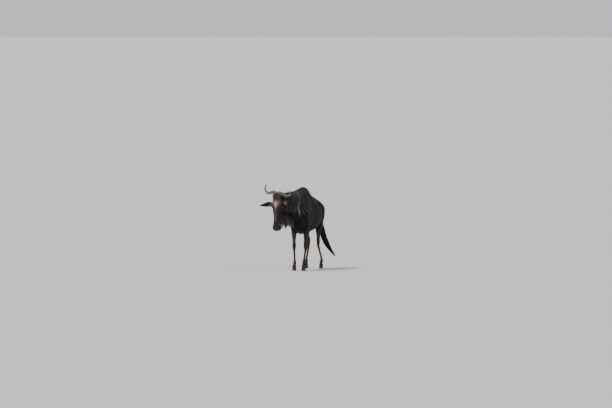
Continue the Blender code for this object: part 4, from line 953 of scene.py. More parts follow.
@dataclass(frozen=True)
class HornFinish:
    """Keratin: rough and grey-brown at the boss, ringed, then dark and smooth to the tip."""

    name: str = "horn_keratin"
    base: Triple = (0.08, 0.067, 0.059)
    pale: Triple = (0.15, 0.129, 0.115)
    tip: Triple = (0.03, 0.026, 0.024)

    def material(self) -> Material:
        """Builds the material."""
        s = Shader(self.name)
        along = s.attribute("along")
        grain = s.noise(s.place(), 90, 4, 0.65)
        fibre = s.noise(s.place(0.15, 1, 1), 520, 3, 0.6)
        worn = s.mixed((grain + 0.35 * fibre).step(0.45, 0.95), self.base, self.pale)
        colour = s.mixed(along.step(0.62, 0.97), worn, self.tip)
        rings = s.attribute("rings")
        height = rings * 0.6 + grain * 0.3 + fibre * 0.25
        rough = 0.62 - 0.34 * along.step(0.35, 0.9) + 0.15 * (grain - 0.5)
        return s.done(Base_Color=colour, Roughness=rough, Normal=s.bump(height, 0.0018, 0.8))


@dataclass(frozen=True)
class HoofFinish:
    """Dark worn keratin with growth lines and a dusty sole edge."""

    name: str = "hoof_keratin"
    dark: Triple = (0.016, 0.014, 0.013)
    worn: Triple = (0.085, 0.07, 0.056)

    def material(self) -> Material:
        """Builds the material."""
        s = Shader(self.name)
        lines = s.noise(s.place(0.15, 0.15, 1), 330, 3, 0.6)
        fibre = s.noise(s.place(1, 1, 0.08), 600, 2, 0.5)
        low = 1 - s.attribute("along").step(0.0, 0.45)
        patch = s.noise(s.place(), 60, 3, 0.6)
        colour = s.mixed((low * 0.6 + 0.9 * patch - 0.35).step(0.0, 0.9), self.dark, self.worn)
        rough = 0.42 + 0.3 * patch
        normal = s.bump(lines * 0.7 + fibre * 0.3, 0.0012, 0.8)
        return s.done(Base_Color=colour, Roughness=rough, Normal=normal)


@dataclass(frozen=True)
class EyeFinish:
    """A wet, very dark brown eye with a long level pupil."""

    name: str = "eye_wet"

    def material(self) -> Material:
        """Builds the material."""
        s = Shader(self.name)
        iris = s.attribute("iris")
        pupil = s.attribute("pupil")
        grain = s.noise(s.place(), 900, 3, 0.6)
        brown = s.mixed(grain.step(0.35, 0.7), (0.012, 0.006, 0.004), (0.03, 0.016, 0.009))
        ring = s.mixed(iris.step(0.7, 0.86), brown, (0.006, 0.004, 0.003))
        edge = s.mixed(iris.step(1.15, 1.3), ring, (0.06, 0.042, 0.036))
        colour = s.mixed(1 - pupil.step(0.85, 1.0), edge, (0.002, 0.002, 0.003))
        return s.done(Base_Color=colour, Roughness=0.12, Coat_Weight=0.2, Coat_Roughness=0.03, Specular_IOR_Level=0.15)


@dataclass(frozen=True)
class FloorFinish:
    """A plain pale studio floor."""

    name: str = "studio_floor"
    colour: Triple = (0.62, 0.6, 0.575)

    def material(self) -> Material:
        """Builds the material."""
        s = Shader(self.name)
        soft = s.noise(s.place(), 3.0, 3, 0.5)
        warm = tuple(c * 0.97 for c in self.colour)
        return s.done(Base_Color=s.mixed(soft, self.colour, warm), Roughness=0.85)


# The coat's colours, lie and unwrap
class Zone(Enum):
    """Stretches of the skin that are unwrapped on their own: u from, u to, v from, v to; four legs in a row."""

    TRUNK = (0.01, 0.6, 0.01, 0.62)
    HEAD = (0.62, 0.98, 0.01, 0.42)
    FORE_LEFT = (0.62, 0.79, 0.44, 0.6)
    FORE_RIGHT = (0.81, 0.98, 0.44, 0.6)
    HIND_LEFT = (0.62, 0.79, 0.62, 0.78)
    HIND_RIGHT = (0.81, 0.98, 0.62, 0.78)
    TAIL = (0.01, 0.3, 0.64, 0.78)
    EAR_LEFT = (0.32, 0.45, 0.64, 0.78)
    EAR_RIGHT = (0.47, 0.6, 0.64, 0.78)


ZONES = tuple(Zone)


@dataclass
class Coat:
    """What every piece of the coat has in common: markings with painted light and shade, lie and unwrap."""

    body: Anatomy
    # slate: the body's own dark grey, darkened further as painted shade for the flanks
    slate: Triple = (0.006, 0.0058, 0.0066)
    ash: Triple = (0.098, 0.09, 0.09)
    # ridge: painted light, the lighter and browner tone of the back's top where light falls from above
    ridge: Triple = (0.06, 0.049, 0.046)
    # under: the dark of the brindle stripes and of a band on the legs, also used as painted shade on the belly and
    # under the jaw
    under: Triple = (0.007, 0.0068, 0.008)
    limb: Triple = (0.056, 0.04, 0.031)
    black: Triple = (0.009, 0.0085, 0.01)
    rust: Triple = (0.068, 0.04, 0.034)
    # Painted highlight: the reddish forehead hair as it looks where light falls on it, a pale pink.
    lit_rust: Triple = (0.43, 0.285, 0.24)
    muzzle: Triple = (0.022, 0.0205, 0.022)
    # lit: painted highlight for the nose bridge
    lit: Triple = (0.09, 0.083, 0.083)

    def zone(self, p: Array) -> Array:
        """Which zone each point of the skin is in.

        Args:
            p: Points in the working frame.

        Returns:
            The zones' numbers.
        """
        q = self.body.to_head(p)
        x, y, z = p.T
        low, fore, hind = z < 0.6, y < 0.3, (z < 0.66) & (y > 0.6)
        found = np.zeros(len(p), int)
        for here, zone in (
            (low & fore & (x > 0), Zone.FORE_LEFT),
            (low & fore & (x <= 0), Zone.FORE_RIGHT),
            (hind & (x > 0), Zone.HIND_LEFT),
            (hind & (x <= 0), Zone.HIND_RIGHT),
            ((y > 1.0) & (z < 0.975), Zone.TAIL),
            ((q[:, 1] * 0.374 + (q[:, 2] + 0.045) * 0.927 > -0.0075) & (y < -0.35), Zone.HEAD),
        ):
            found[here] = ZONES.index(zone)
        return found

    def unwrapped(self, p: Array, zone: Array) -> tuple[Array, Array]:
        """Each point's share along its zone's own line, and its angle round it.

        Args:
            p: Points in the working frame.
            zone: Their zones' numbers.

        Returns:
            The shares from 0 to 1, and the angles in turns from 0 to 1.
        """
        q = self.body.to_head(p)
        along = (p[:, 1] + 0.62) / 1.66
        middle = np.interp(p[:, 1], (-0.55, -0.14, 0.02), (-0.19, -0.028, 0.0))
        angle = np.arctan2(p[:, 0] - middle, -(p[:, 2] - 0.88))
        head = zone == ZONES.index(Zone.HEAD)
        along = np.where(head, (q[:, 1] + 0.1) / 0.72, along)
        angle = np.where(head, np.arctan2(q[:, 0], q[:, 2] + 0.03), angle)
        levels = (0.05, 0.4, 0.68)
        for number, leg in enumerate((*self.body.forelegs, *self.body.hindlegs), ZONES.index(Zone.FORE_LEFT)):
            here = zone == number
            x = np.interp(p[:, 2], levels, (leg.foot[0], leg.joint[0], leg.side * 0.1))
            y = np.interp(p[:, 2], levels, (leg.foot[1], leg.joint[1], 0.76 if leg.joint[1] > 0.5 else -0.03))
            along = np.where(here, p[:, 2] / 0.68, along)
            angle = np.where(here, np.arctan2(p[:, 0] - x, -(p[:, 1] - y)), angle)
        tail = zone == ZONES.index(Zone.TAIL)
        along = np.where(tail, p[:, 2], along)
        line = np.array([row[:3] for row in self.body.dock()])[::-1]
        x, y = (np.interp(p[:, 2], line[:, 2], line[:, k]) for k in (0, 1))
        angle = np.where(tail, np.arctan2(p[:, 0] - x, -(p[:, 1] - y)), angle)
        return np.clip(along, 0, 1), angle / (2 * np.pi) + 0.5

    def patch(self, along: Array, turn: Array, zone: Array) -> Array:
        """Places shares and turns in their zones' rectangles of the unwrap.

        Args:
            along: Shares along each zone.
            turn: Turns round it.
            zone: The zones' numbers.

        Returns:
            The places on the unwrap.
        """
        boxes = np.array([z.value for z in ZONES])[zone]
        u = boxes[:, 0] + (boxes[:, 1] - boxes[:, 0]) * np.clip(along, 0, 1)
        v = boxes[:, 2] + (boxes[:, 3] - boxes[:, 2]) * turn * 0.94
        return np.stack([u, v], 1)

    def upright(self, p: Array) -> Array:
        """How far the fur of each point hangs down rather than lying back."""
        return np.maximum(1 - eased(p[:, 2], 0.52, 0.7), eased(-p[:, 1], 0.4, 0.55))

    def lie(self, p: Array, out: Array) -> Array:
        """The way that the fur lies.

        Args:
            p: Points in the working frame.
            out: The way out of the skin at each.

        Returns:
            Directions along the skin.
        """
        down = 1 - eased(p[:, 2], 0.5, 0.72)
        back = np.stack([0.0 * down, 0.9 - 0.6 * down, -0.42 - 0.6 * down], 1)
        neck = eased(-p[:, 1], 0.05, 0.25)[:, None]
        back = back * (1 - neck) + np.array((0.22, 0.55, -0.75)) * neck
        q = self.body.to_head(p)
        head = (eased(-p[:, 1], 0.46, 0.56) * eased(q[:, 2], -0.2, -0.12))[:, None]
        crown = eased(q[:, 1], 0.13, 0.03)[:, None]
        down_face = self.body.axes[:, 1] * (1 - 1.7 * crown) - self.body.axes[:, 2] * 0.35
        sideways = np.clip(q[:, :1] * 22, -1, 1) * self.body.axes[:, 0] * 0.45
        way = back * (1 - head) + (down_face + sideways) * head
        way = way + 0.1 * np.sin(p[:, [1, 2, 0]] * 23.0)
        return unit(way - out * (way * out).sum(1)[:, None])

    @staticmethod
    def neck_glint(p: Array) -> Array:
        """A painted glint: the pale band of light that runs down the left side of the neck.

        Args:
            p: Points in the working frame.

        Returns:
            How much of it shows at each.
        """
        band = p[:, 0] * 0.972 + p[:, 1] * 0.233 + 0.018 + 0.006 * np.sin(p[:, 2] * 27)
        near = eased(p[:, 1], 0.06, -0.02) * eased(p[:, 0], -0.09, -0.05)
        return np.exp(-((band / 0.014) ** 2)) * near * eased(p[:, 2], 1.21, 1.15)

    def tint(self, p: Array) -> Array:
        """The coat's colours at points of the skin: markings, with painted light and shade laid over them.

        Args:
            p: Points in the working frame.

        Returns:
            Linear colours.
        """
        q = self.body.to_head(p)
        x, y, z = p.T
        colour = np.tile(self.slate, (len(p), 1))

        def paint(share: Array, over: Sequence[float]) -> None:
            """Lays a colour over the coat, as far as its share says at each point."""
            nonlocal colour
            colour = blended(colour, over, share[:, None])

        wave = 0.007 * np.sin(z * 17 + 2 * np.sin(y * 9)) + 0.004 * np.sin(z * 41 + y * 13)
        stripes = 0.5 + 0.5 * np.sin((y + wave + 0.1 * (z - 0.9)) * 2 * np.pi / 0.052)
        uneven = 0.5 + 0.5 * np.sin(z * 11 + y * 29) * np.sin(z * 23 - y * 17)
        a, n, s = q[:, 1], q[:, 2], q[:, 0]
        head = eased(-y, 0.44, 0.54) * eased(n, -0.24, -0.14)
        fore = eased(y, 0.32, -0.08) * eased(z, 0.62, 0.8) * (1 - head)
        chest = eased(y, -0.08, -0.15) * eased(z, 0.95, 0.86)
        fore = fore * (1 - 0.8 * chest) * (0.9 + 0.1 * eased(y, 0.1, -0.2))
        # Painted shade: the lower body darkens towards the belly.
        paint(eased(z, 0.8, 0.6) * 0.8, self.under)
        # Painted light from above: the top of the back, and more faintly the upper flank, lighter and browner.
        paint(eased(z, 1.02, 1.22) * 0.65, self.ridge)
        paint(0.05 * eased(z, 0.75, 0.95) * (1 - fore), self.ridge)
        paint(fore * eased(stripes, 0.45, 0.95) * (0.35 + 0.4 * uneven), self.ash)
        paint(fore * eased(stripes, 0.45, 0.05) * 0.75, self.under)
        # Painted glint: a pale band of light down the left side of the neck.
        paint(self.neck_glint(p) * eased(z, 0.8, 0.9) * (0.3 + 0.7 * uneven) * 0.8, (0.23, 0.195, 0.18))
        middle = np.interp(y, (-0.5, -0.42, -0.29, -0.14, 0.05), (-0.186, -0.138, -0.076, -0.024, 0.0))
        crest = np.exp(-(((x - middle) / 0.045) ** 2)) * eased(y, 0.36, 0.28) * eased(z, 1.06, 1.14)
        paint(crest * 0.95, self.black)
        limb = eased(z, 0.66, 0.5)
        paint(limb * 0.85, self.limb)
        paint(eased(z, 0.14, 0.07) * 0.55, self.black)
        paint(limb * eased(z, 0.3, 0.4) * eased(z, 0.56, 0.46) * 0.3, self.under)
        paint(eased(y, 0.985, 1.02) * eased(z, 0.98, 0.9), self.black)
        paint(head * 0.85, (0.02, 0.019, 0.021))
        front = eased(n, 0.0, 0.045) * head
        paint(front * eased(a, -0.02, 0.02) * eased(a, 0.24, 0.12), self.rust)
        # Painted highlight: a pale pink spot in the middle of the forehead, the reddish hair lit.
        wide = np.interp(a, (0.13, 0.21), (0.038, 0.015))
        spot = np.exp(-(((s + 0.008) / wide) ** 2) - ((a - 0.162) / 0.05) ** 2)
        paint(front * np.clip(spot * 1.2, 0, 1) * 0.9, self.lit_rust)
        # Painted highlight: a pale line down the nose bridge, where light falls.
        bridge = np.exp(-(((s + 0.012) / 0.016) ** 2)) * eased(a, 0.2, 0.27) * eased(a, 0.46, 0.4)
        paint(front * bridge * 0.75, self.lit)
        paint(head * eased(a, 0.4, 0.46), self.muzzle)
        mirrored = self.body.mirrored(p)
        nostril = self.body.nostril_tube.distance(mirrored)
        # Painted highlight: a pale, slightly bluish ring round each nostril.
        paint(0.3 * head * eased(nostril, 0.001, 0.004) * eased(nostril, 0.02, 0.006), (0.11, 0.11, 0.118))
        lip = self.body.mouth_tube.distance(mirrored)
        paint(0.5 * head * eased(n, -0.02, -0.01) * eased(lip, 0.02, 0.006), (0.095, 0.088, 0.084))
        eye = np.linalg.norm(np.abs(q * (1, 0, 0)) + q * (0, 1, 1) - self.body.eye, axis=1)
        paint(0.85 * eased(eye, 0.038, 0.026), self.black)
        # Painted shade: the lower sides and underside of the face are darkened towards the jaw.
        paint(head * eased(a, 0.2, 0.3) * eased(n, -0.02, -0.07) * 0.6, self.under)
        return colour

    def shaded(self, tint: Array, amount: float, draw: Draw) -> Array:
        """Colours that differ a little from tuft to tuft."""
        return np.clip(tint * np.exp(draw.normal(0, amount, (len(tint), 1))), 0.002, 0.9)


@dataclass
class Blades:
    """Many tapered three-cornered hairs in one mesh.

    They have lines, the way that their faces look, widths, colours at root and tip, and roots and zones for the
    unwrap. A level blade is lit as the skin under it is.
    """

    lines: Array
    faces: Array
    width: Array
    tint: Array
    tip: Array
    roots: Array
    zone: Array
    flat: float = 0.5
    waist: float = 0.75
    level: bool = False
    corners: int = 3

    def build(self, name: str, coat: Coat) -> Piece:
        """Makes the mesh with its colours and its places on the unwrap.

        Args:
            name: The object's name.
            coat: Gives the unwrap.

        Returns:
            The object.
        """
        count, rows = self.lines.shape[:2]
        corners = self.corners
        along = unit(np.gradient(self.lines, axis=1))
        side = unit(np.cross(along, self.faces))
        out = np.cross(side, along)
        t = np.linspace(0, 1, rows)[:-1]
        profile = np.minimum(1.0, self.waist + 1.4 * t) * (1 - 0.7 * t**2.5)
        turn = (np.arange(corners) / corners + 0.25) * 2 * np.pi
        wide = np.cos(turn)[None, None, :, None] * side[:, :-1, None]
        deep = np.sin(turn)[None, None, :, None] * out[:, :-1, None]
        half = (self.width[:, None] / 2 * profile)[:, :, None, None]
        depth = ((self.width * self.flat)[:, None] / 2 * profile)[:, :, None, None]
        rings = self.lines[:, :-1, None] + wide * half + deep * depth
        points = np.concatenate([rings.reshape(count, -1, 3), self.lines[:, -1:]], 1)
        each = points.shape[1]
        faces = [(0, i + 1, i) for i in range(1, corners - 1)]
        for a, b, c, d in tube_faces(rows - 1, corners):
            faces += [(a, b, c), (a, c, d)]
        last = corners * (rows - 2)
        faces += [(last + j, last + (j + 1) % corners, each - 1) for j in range(corners)]
        faces = (np.array(faces)[None, :, ::-1] + each * np.arange(count)[:, None, None]).reshape(-1, 3)
        made = new_object(name, points.reshape(-1, 3) + coat.body.shift, faces)
        if self.level:
            looks = self.faces[:, :-1, None] + 0.45 * wide
            looks = np.concatenate([looks.reshape(count, -1, 3), self.faces[:, -1:]], 1).reshape(-1, 3)
            made.data.normals_split_custom_set_from_vertices(unit(looks).tolist())
        share = np.append(np.repeat(t, corners), 1.0)
        tint = blended(self.tint[:, None], self.tip[:, None], share[None, :, None] ** 1.5)
        set_attributes(made, tint.reshape(-1, 3))
        spot = coat.patch(*coat.unwrapped(self.roots, self.zone), self.zone)
        across = np.append(np.tile(np.arange(corners) / (corners - 1) - 0.5, rows - 1), 0.0)
        local = np.stack([share - 0.5, across], 1) * PATCH
        lay_map(made, (spot[:, None] + local[None]).reshape(-1, 2)[faces.ravel()])
        return made


def dressed(obj: Piece, material: Material, slot: str, *nodes: str) -> Piece:
    """Gives a piece its material and its body, and hides the nodes that it stands for.

    Args:
        obj: The piece.
        material: Its material.
        slot: Not used.
        nodes: The nodes that it replaces.

    Returns:
        The piece.
    """
    obj.data.materials.clear()
    obj.data.materials.append(material)
    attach(obj, BODY)
    if nodes:
        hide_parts(*nodes)
    LOG.info("%s: %d triangles", obj.name, sum(len(p.vertices) - 2 for p in obj.data.polygons))
    return obj


class Side(Enum):
    """The animal's two sides."""

    LEFT = 1
    RIGHT = -1

    @property
    def word(self) -> str:
        """The side's name in the nodes."""
        return self.name.lower()


# The skin
@dataclass
class Skin:
    """One skin over trunk, neck, legs and head, with no seam."""

    coat: Coat
    depth: float = 0.003
    cell: float = 0.0085
    face_cell: float = 0.0034

    def build(self) -> Piece:
        """Makes the skin from a coarse body and a fine head, joined behind the jaw."""
        body = self.coat.body
        low, high = np.array((-0.3, -0.66, 0.035)), np.array((0.3, 1.17, 1.3))
        whole = polygonised("hide", body.flesh, low, high, self.cell, -self.depth)
        corners = body.from_head([(s, a, n) for s in (-0.13, 0.13) for a in (-0.07, 0.62) for n in (-0.24, 0.12)])
        head = polygonised("head", body.face, corners.min(0), corners.max(0), self.face_cell, -0.6 * self.depth)
        point = body.from_head((0, -0.02, -0.045))
        out = unit(body.axes @ np.array((0, 0.105, 0.26)))
        combine(head, "INTERSECT", half_space(point - out * 0.0015, -out))
        combine(whole, "INTERSECT", half_space(point, out))
        combine(whole, "UNION", head)
        self.paint(whole)
        whole.data.transform(Matrix.Translation(body.shift))
        whole.data.shade_smooth()
        nodes = ["torso", "neck", "head"]
        for side in Side:
            nodes += [f"{leg}_{side.word}_{end}" for leg in ("foreleg", "hindleg") for end in ("upper", "lower")]
        return dressed(whole, SkinFinish().material(), "coat_body", *nodes)

    def paint(self, obj: Piece) -> None:
        """Gives the skin its colours, its bare places and its unwrap."""
        coat, mesh = self.coat, obj.data
        p = positions(obj)
        q = coat.body.to_head(p)
        mirrored = coat.body.mirrored(p)
        nose = eased(q[:, 1], 0.485, 0.515) * eased(q[:, 2], -0.02, 0.0) * eased(-p[:, 1], 0.5, 0.55)
        hollow = eased(coat.body.nostril_tube.distance(mirrored), 0.006, -0.001)
        gap = eased(coat.body.mouth_tube.distance(mirrored), 0.004, -0.001)
        # Painted shade: the insides of the nostrils and the gap between the lips are darkened.
        dark = np.clip(hollow + 0.8 * gap, 0, 1)[:, None]
        tint = blended(coat.tint(p), (0.006, 0.005, 0.005), dark)
        set_attributes(obj, tint, bare=np.clip(nose + hollow + gap, 0, 1), upright=coat.upright(p))
        loops = read(mesh.loops, "vertex_index", np.int32)
        totals = read(mesh.polygons, "loop_total", np.int32)
        centres = read(mesh.polygons, "center", np.float32, 3).astype(float)
        zone = np.repeat(coat.zone(centres), totals)
        along, turn = coat.unwrapped(p[loops], zone)
        face = np.repeat(np.arange(len(totals)), totals)
        most = np.zeros(len(totals))
        np.maximum.at(most, face, turn)
        turn = np.where((most[face] - turn) > 0.5, turn + 1, turn)
        lay_map(obj, coat.patch(along, turn, zone))


class Patch(NamedTuple):
    """One stretch of the short coat: how many tufts, and their sizes."""

    name: str
    count: int
    pieces: int
    length: float
    width: float


@dataclass
class ShortCoat:
    """Short tufts that lie along the skin and break its outline."""

    coat: Coat
    skin: Piece
    trunk: Patch = Patch("short_coat", 46000, 3, 0.022, 0.003)
    face: Patch = Patch("face_coat", 25000, 2, 0.0085, 0.0015)
    seed: int = 21

    def build(self) -> None:
        """Makes the tufts of body, legs and face."""
        draw = np.random.default_rng(self.seed)
        coat, body = self.coat, self.coat.body
        p = positions(self.skin) - body.shift
        tris = triangles_of(self.skin)
        corners = p[tris]
        normal = np.cross(corners[:, 1] - corners[:, 0], corners[:, 2] - corners[:, 0])
        area = np.linalg.norm(normal, axis=1) / 2
        middle = corners.mean(1)
        q = body.to_head(middle)
        head = eased(-middle[:, 1], 0.44, 0.54) * eased(q[:, 2], -0.24, -0.14)
        limb = eased(middle[:, 2], 0.62, 0.45)
        mirrored = body.mirrored(middle)
        near = np.minimum(body.nostril_tube.distance(mirrored), body.mouth_tube.distance(mirrored))
        near = np.minimum(near, np.linalg.norm(mirrored - body.eye, axis=1) - body.eye_radius - 0.006)
        open_skin = area * (near > 0.003) * (middle[:, 2] > 0.052)
        material = HairFinish("short_tufts", 0.65, 0.1).material()
        for patch, chance in ((self.trunk, open_skin * (1 - head) * (1 + 0.9 * limb)), (self.face, open_skin * head)):
            pick = draw.choice(len(tris), patch.count, p=chance / chance.sum())
            size = 1 - 0.45 * limb[pick]
            if patch is self.face:
                size = 1 + 0.7 * eased(q[pick, 2], 0.02, 0.05) * eased(q[pick, 1], 0.44, 0.36)
                size = size * (1 - 0.55 * eased(q[pick, 1], 0.42, 0.52))
            a, b, c = corners[pick].swapaxes(0, 1)
            u, v = draw.random((2, len(pick), 1))
            flip = (u + v) > 1
            u, v = np.where(flip, 1 - u, u), np.where(flip, 1 - v, v)
            root = a * (1 - u - v) + b * u + c * v
            self.tufts(patch, root, unit(normal[pick]), size, draw, material)

    def tufts(self, patch: Patch, root: Array, out: Array, size: Array, draw: Draw, material: Material) -> None:
        """Makes one patch of tufts, in pieces.

        Args:
            patch: Its sizes.
            root: The tufts' places.
            out: The ways out of the skin there.
            size: How long each is against the patch's own length.
            draw: The random numbers.
            material: Their material.
        """
        coat = self.coat
        way = unit(coat.lie(root, out) + 0.14 * draw.normal(size=root.shape))
        way = unit(way - out * (way * out).sum(1)[:, None])
        length = patch.length * size * draw.uniform(0.7, 1.25, len(root))
        width = patch.width * size**0.5 * draw.uniform(0.7, 1.2, len(root))
        share = np.array((0.0, 0.5, 1.0))[None]
        lines = root[:, None] + way[:, None] * (length[:, None] * share)[:, :, None]
        rise = draw.uniform(0.02, 0.09, len(root)) * length
        lift = -0.0005 + (rise[:, None] + 0.0005) * share**1.2
        lines = lines + out[:, None] * lift[:, :, None]
        tint = coat.shaded(coat.tint(root), 0.2, draw) * 0.92
        tip = np.clip(tint * draw.uniform(1.0, 1.7, (len(root), 1)), 0, 1)
        every = (lines, np.repeat(out[:, None], 3, 1), width, tint, tip, root, coat.zone(root))
        for number, part in enumerate(np.array_split(np.argsort(root[:, 1]), patch.pieces)):
            blades = Blades(*(values[part] for values in every), flat=0.3, waist=0.8, level=True)
            dressed(blades.build(f"{patch.name}_{number + 1}", coat), material, "coat_body")


# Long hair
Hairs = tuple[Array, Array]  # the lines, and the way that their faces look


class Hang(NamedTuple):
    """How guide lines hang: their least distance to the skin, and how late they start to hang; below 1 is early."""

    clear: float
    droop: float


class Clump(NamedTuple):
    """Hairs in a clump, its radius, how far they draw together at the tip, and their least distance to the skin."""

    each: int
    spread: float
    gather: float
    clear: float = 0.002


def spaced(table: Array, share: Array) -> tuple[Array, Array]:
    """Reads a line at shares of its length.

    Args:
        table: The line's rows.
        share: Shares from 0 to 1.

    Returns:
        The rows there, and the steps between the rows round them.
    """
    place = share * (len(table) - 1)
    low = np.minimum(place.astype(int), len(table) - 2)
    step = table[low + 1] - table[low]
    return table[low] + (place - low)[:, None] * step, step


@dataclass
class LongHair:
    """Grows clumps of long hair from guide lines, clear of the skin."""

    coat: Coat
    skin: Piece
    steps: int = 7

    def __post_init__(self) -> None:
        """Prepares the search for the nearest skin."""
        points = positions(self.skin) - self.coat.body.shift
        self.tree = BVHTree.FromPolygons([Vector(p) for p in points], triangles_of(self.skin).tolist())

    def nearest(self, p: Array) -> tuple[Array, Array, Array]:
        """The skin's places nearest to points, the ways out of it there, and the points' distances outside it."""
        found = (self.tree.find_nearest(Vector(v))[:2] for v in p)
        place, out = (np.array(column) for column in zip(*found, strict=True))
        return place, out, ((p - place) * out).sum(1)

    def grown(self, roots: Array, lies: Array, lengths: Array, hang: Hang, clump: Clump, draw: Draw) -> Hairs:
        """Guides that leave each root along its lie, then hang clear of the skin, each with a clump of hair round it.

        Args:
            roots: The guide lines' first points.
            lies: The ways that they start in.
            lengths: Their lengths.
            hang: How they hang.
            clump: The clumps' sizes.
            draw: The random numbers.

        Returns:
            The hairs' lines, and the way that their faces look.
        """
        place, out, _ = self.nearest(roots)
        place = place - out * 0.004
        lies = unit(lies)
        lines, faces = [place], [out]
        for i in range(1, self.steps + 1):
            share = min(1.0, 1.3 * (i / self.steps) ** hang.droop)
            way = unit(lies * (1 - share) + np.array((0, 0, -1)) * share)
            place = place + way * (lengths / self.steps)[:, None]
            _, out, gap = self.nearest(place)
            place = place + out * np.maximum(hang.clear - gap, 0)[:, None]
            lines.append(place)
            faces.append(out)
        lines, faces = np.stack(lines, 1), np.stack(faces, 1)
        count, rows = lines.shape[:2]
        each, spread = clump.each, clump.spread
        total = count * each
        guide, face = np.repeat(lines, each, 0), np.repeat(faces, each, 0)
        along = unit(guide[:, -1] - guide[:, 0])
        side = unit(np.cross(along, face[:, 0]))
        radius = spread * np.sqrt(draw.random(total))
        angle = draw.uniform(0, 2 * np.pi, total)
        ahead = unit(np.cross(side, face[:, 0]))
        offset = side * (np.cos(angle) * radius)[:, None] + ahead * (np.sin(angle) * radius)[:, None]
        reach = draw.uniform(0.68, 1.06, total)
        t = np.linspace(0, 1, rows)
        place = np.clip(t[None] * reach[:, None], 0, 1) * (rows - 1)
        low = np.minimum(place.astype(int), rows - 2)
        share = (place - low)[..., None]
        index = np.arange(total)[:, None]
        made = guide[index, low] * (1 - share) + guide[index, low + 1] * share
        over = np.clip(t[None] * reach[:, None] - 1, 0, None)[..., None]
        made = made + over * (guide[:, -1:] - guide[:, -2:-1]) * (rows - 1)
        made = made + offset[:, None] * (1 - clump.gather * t**1.2)[None, :, None]
        depth = draw.uniform(-0.5, 1.0, (total, 1)) * spread * 0.55 * np.sin(np.pi * np.minimum(t, 0.85))[None]
        made = made + face * depth[..., None]
        phase, wide = draw.uniform(0, 2 * np.pi, (total, 1)), draw.uniform(0.2, 1.0, (total, 1)) * 0.1 * spread
        wave = wide * np.sin(phase + t[None] * 7) * t[None]
        made = made + side[:, None] * wave[..., None]
        root, out, _ = self.nearest(made[:, 0])
        fix = root - out * 0.003 - made[:, 0]
        made = made + fix[:, None] * ((1 - t) ** 3)[None, :, None]
        for i in range(1, rows):
            _, out, gap = self.nearest(made[:, i])
            push = np.maximum(clump.clear - gap, 0) * (gap < 0.06)
            made[:, i] += out * push[:, None]
        for _ in range(2):
            made[:, 1:-1] = (made[:, :-2] + 2 * made[:, 1:-1] + made[:, 2:]) / 4
        twist = draw.normal(0, 0.35, (total, 1, 1)) * side[:, None]
        return made, unit(face + twist)

    def dress(
        self,
        name: str,
        hairs: Hairs,
        width: float,
        tints: tuple[Array, Array],
        draw: Draw,
        material: Material,
        slot: str,
        *nodes: str,
    ) -> None:
        """Makes one piece of long hair.

        Args:
            name: The piece's name.
            hairs: The hairs' lines, and the way that their faces look.
            width: Their width.
            tints: Their colours at the root and at the tip.
            draw: The random numbers.
            material: The piece's material.
            slot: A name that is passed on to dressed().
            nodes: The nodes that it replaces.
        """
        roots = hairs[0][:, 0]
        widths = width * draw.uniform(0.6, 1.3, len(roots))
        blades = Blades(*hairs, widths, *tints, roots, self.coat.zone(roots))
        dressed(blades.build(name, self.coat), material, slot, *nodes)


@dataclass
class Mane:
    """The mane: it parts along the crest and falls down both sides, from the poll to behind the withers."""

    hair: LongHair
    guides: int = 220
    hang: Hang = Hang(0.008, 0.75)
    clump: Clump = Clump(30, 0.02, 0.72)
    lengths: tuple[float, float] = (0.3, 0.165)
    width: float = 0.0029
    seed: int = 5

    def build(self) -> None:
        """Makes the mane, in a piece for each half of its hair."""
        draw = np.random.default_rng(self.seed)
        coat = self.hair.coat
        count = self.guides
        t = (np.arange(count) + draw.uniform(0, 1, count)) / count
        side = np.where(np.arange(count) % 2 == 0, 1.0, -1.0)
        over = np.clip((0.22 - t) / 0.22, 0, 1)
        back = np.clip((t - 0.22) / 0.78, 0, 1)
        row, step = spaced(smooth_rows(coat.body.mane_line(), 8), back)
        way = unit(step[:, :3])
        across = unit(np.cross(way, UP)) * -side[:, None]
        roots = row[:, :3] + np.array(UP) * row[:, 4:5] + across * draw.uniform(-0.016, 0.02, (count, 1))
        roots[:, 1] += over * 0.26
        rise = (0.3 + 0.5 * np.clip((t - 0.22) / 0.3, 0, 1) - 0.25 * over)[:, None]
        lies = across * 0.85 + np.array(UP) * rise - way * draw.uniform(0.15, 0.6, (count, 1))
        lies[:, 1] += over * 0.6
        ridge = np.arange(count) % 4 < 1
        lies[ridge] = (across * 0.1 + np.array(UP) * rise * 0.6 - way)[ridge]
        length = self.lengths[0] + (self.lengths[1] - self.lengths[0]) * back
        length = length * (1 - 0.66 * over) * draw.uniform(0.8, 1.1, count) * np.where(ridge, 0.5, 1.0)
        lines, faces = self.hair.grown(roots, lies, length, self.hang, self.clump, draw)
        total = len(lines)
        middle = lines[:, lines.shape[1] // 2]
        x, y, _ = middle.T
        # Grey strands at random, and more of them on the lump behind the head as painted sheen where light falls from
        # above.
        lit_lump = eased(y, 0.0, -0.1) * eased(y, -0.46, -0.34) * (x > -0.06)
        grey = np.clip(draw.random(total) ** 1.8 + 0.45 * lit_lump * draw.random(total), 0, 1)[:, None]
        tint = blended(np.array(coat.black), (0.072, 0.068, 0.074), grey)
        # Painted glint: pale strands along the same band of light down the left side of the neck.
        glint_streak = coat.neck_glint(middle) * (draw.random(total) < 0.65) * draw.uniform(0.3, 1.0, total)
        tint = tint + np.array((0.24, 0.205, 0.19)) * glint_streak[:, None]
        tip = tint * draw.uniform(0.9, 1.8, (total, 1))
        material = HairFinish("mane_hair", 0.46, 0.3).material()
        for number, part in enumerate(np.array_split(np.arange(total), 2)):
            hairs, tints = (lines[part], faces[part]), (tint[part], tip[part])
            self.hair.dress(f"mane_{number + 1}", hairs, self.width, tints, draw, material, "coat_neck")


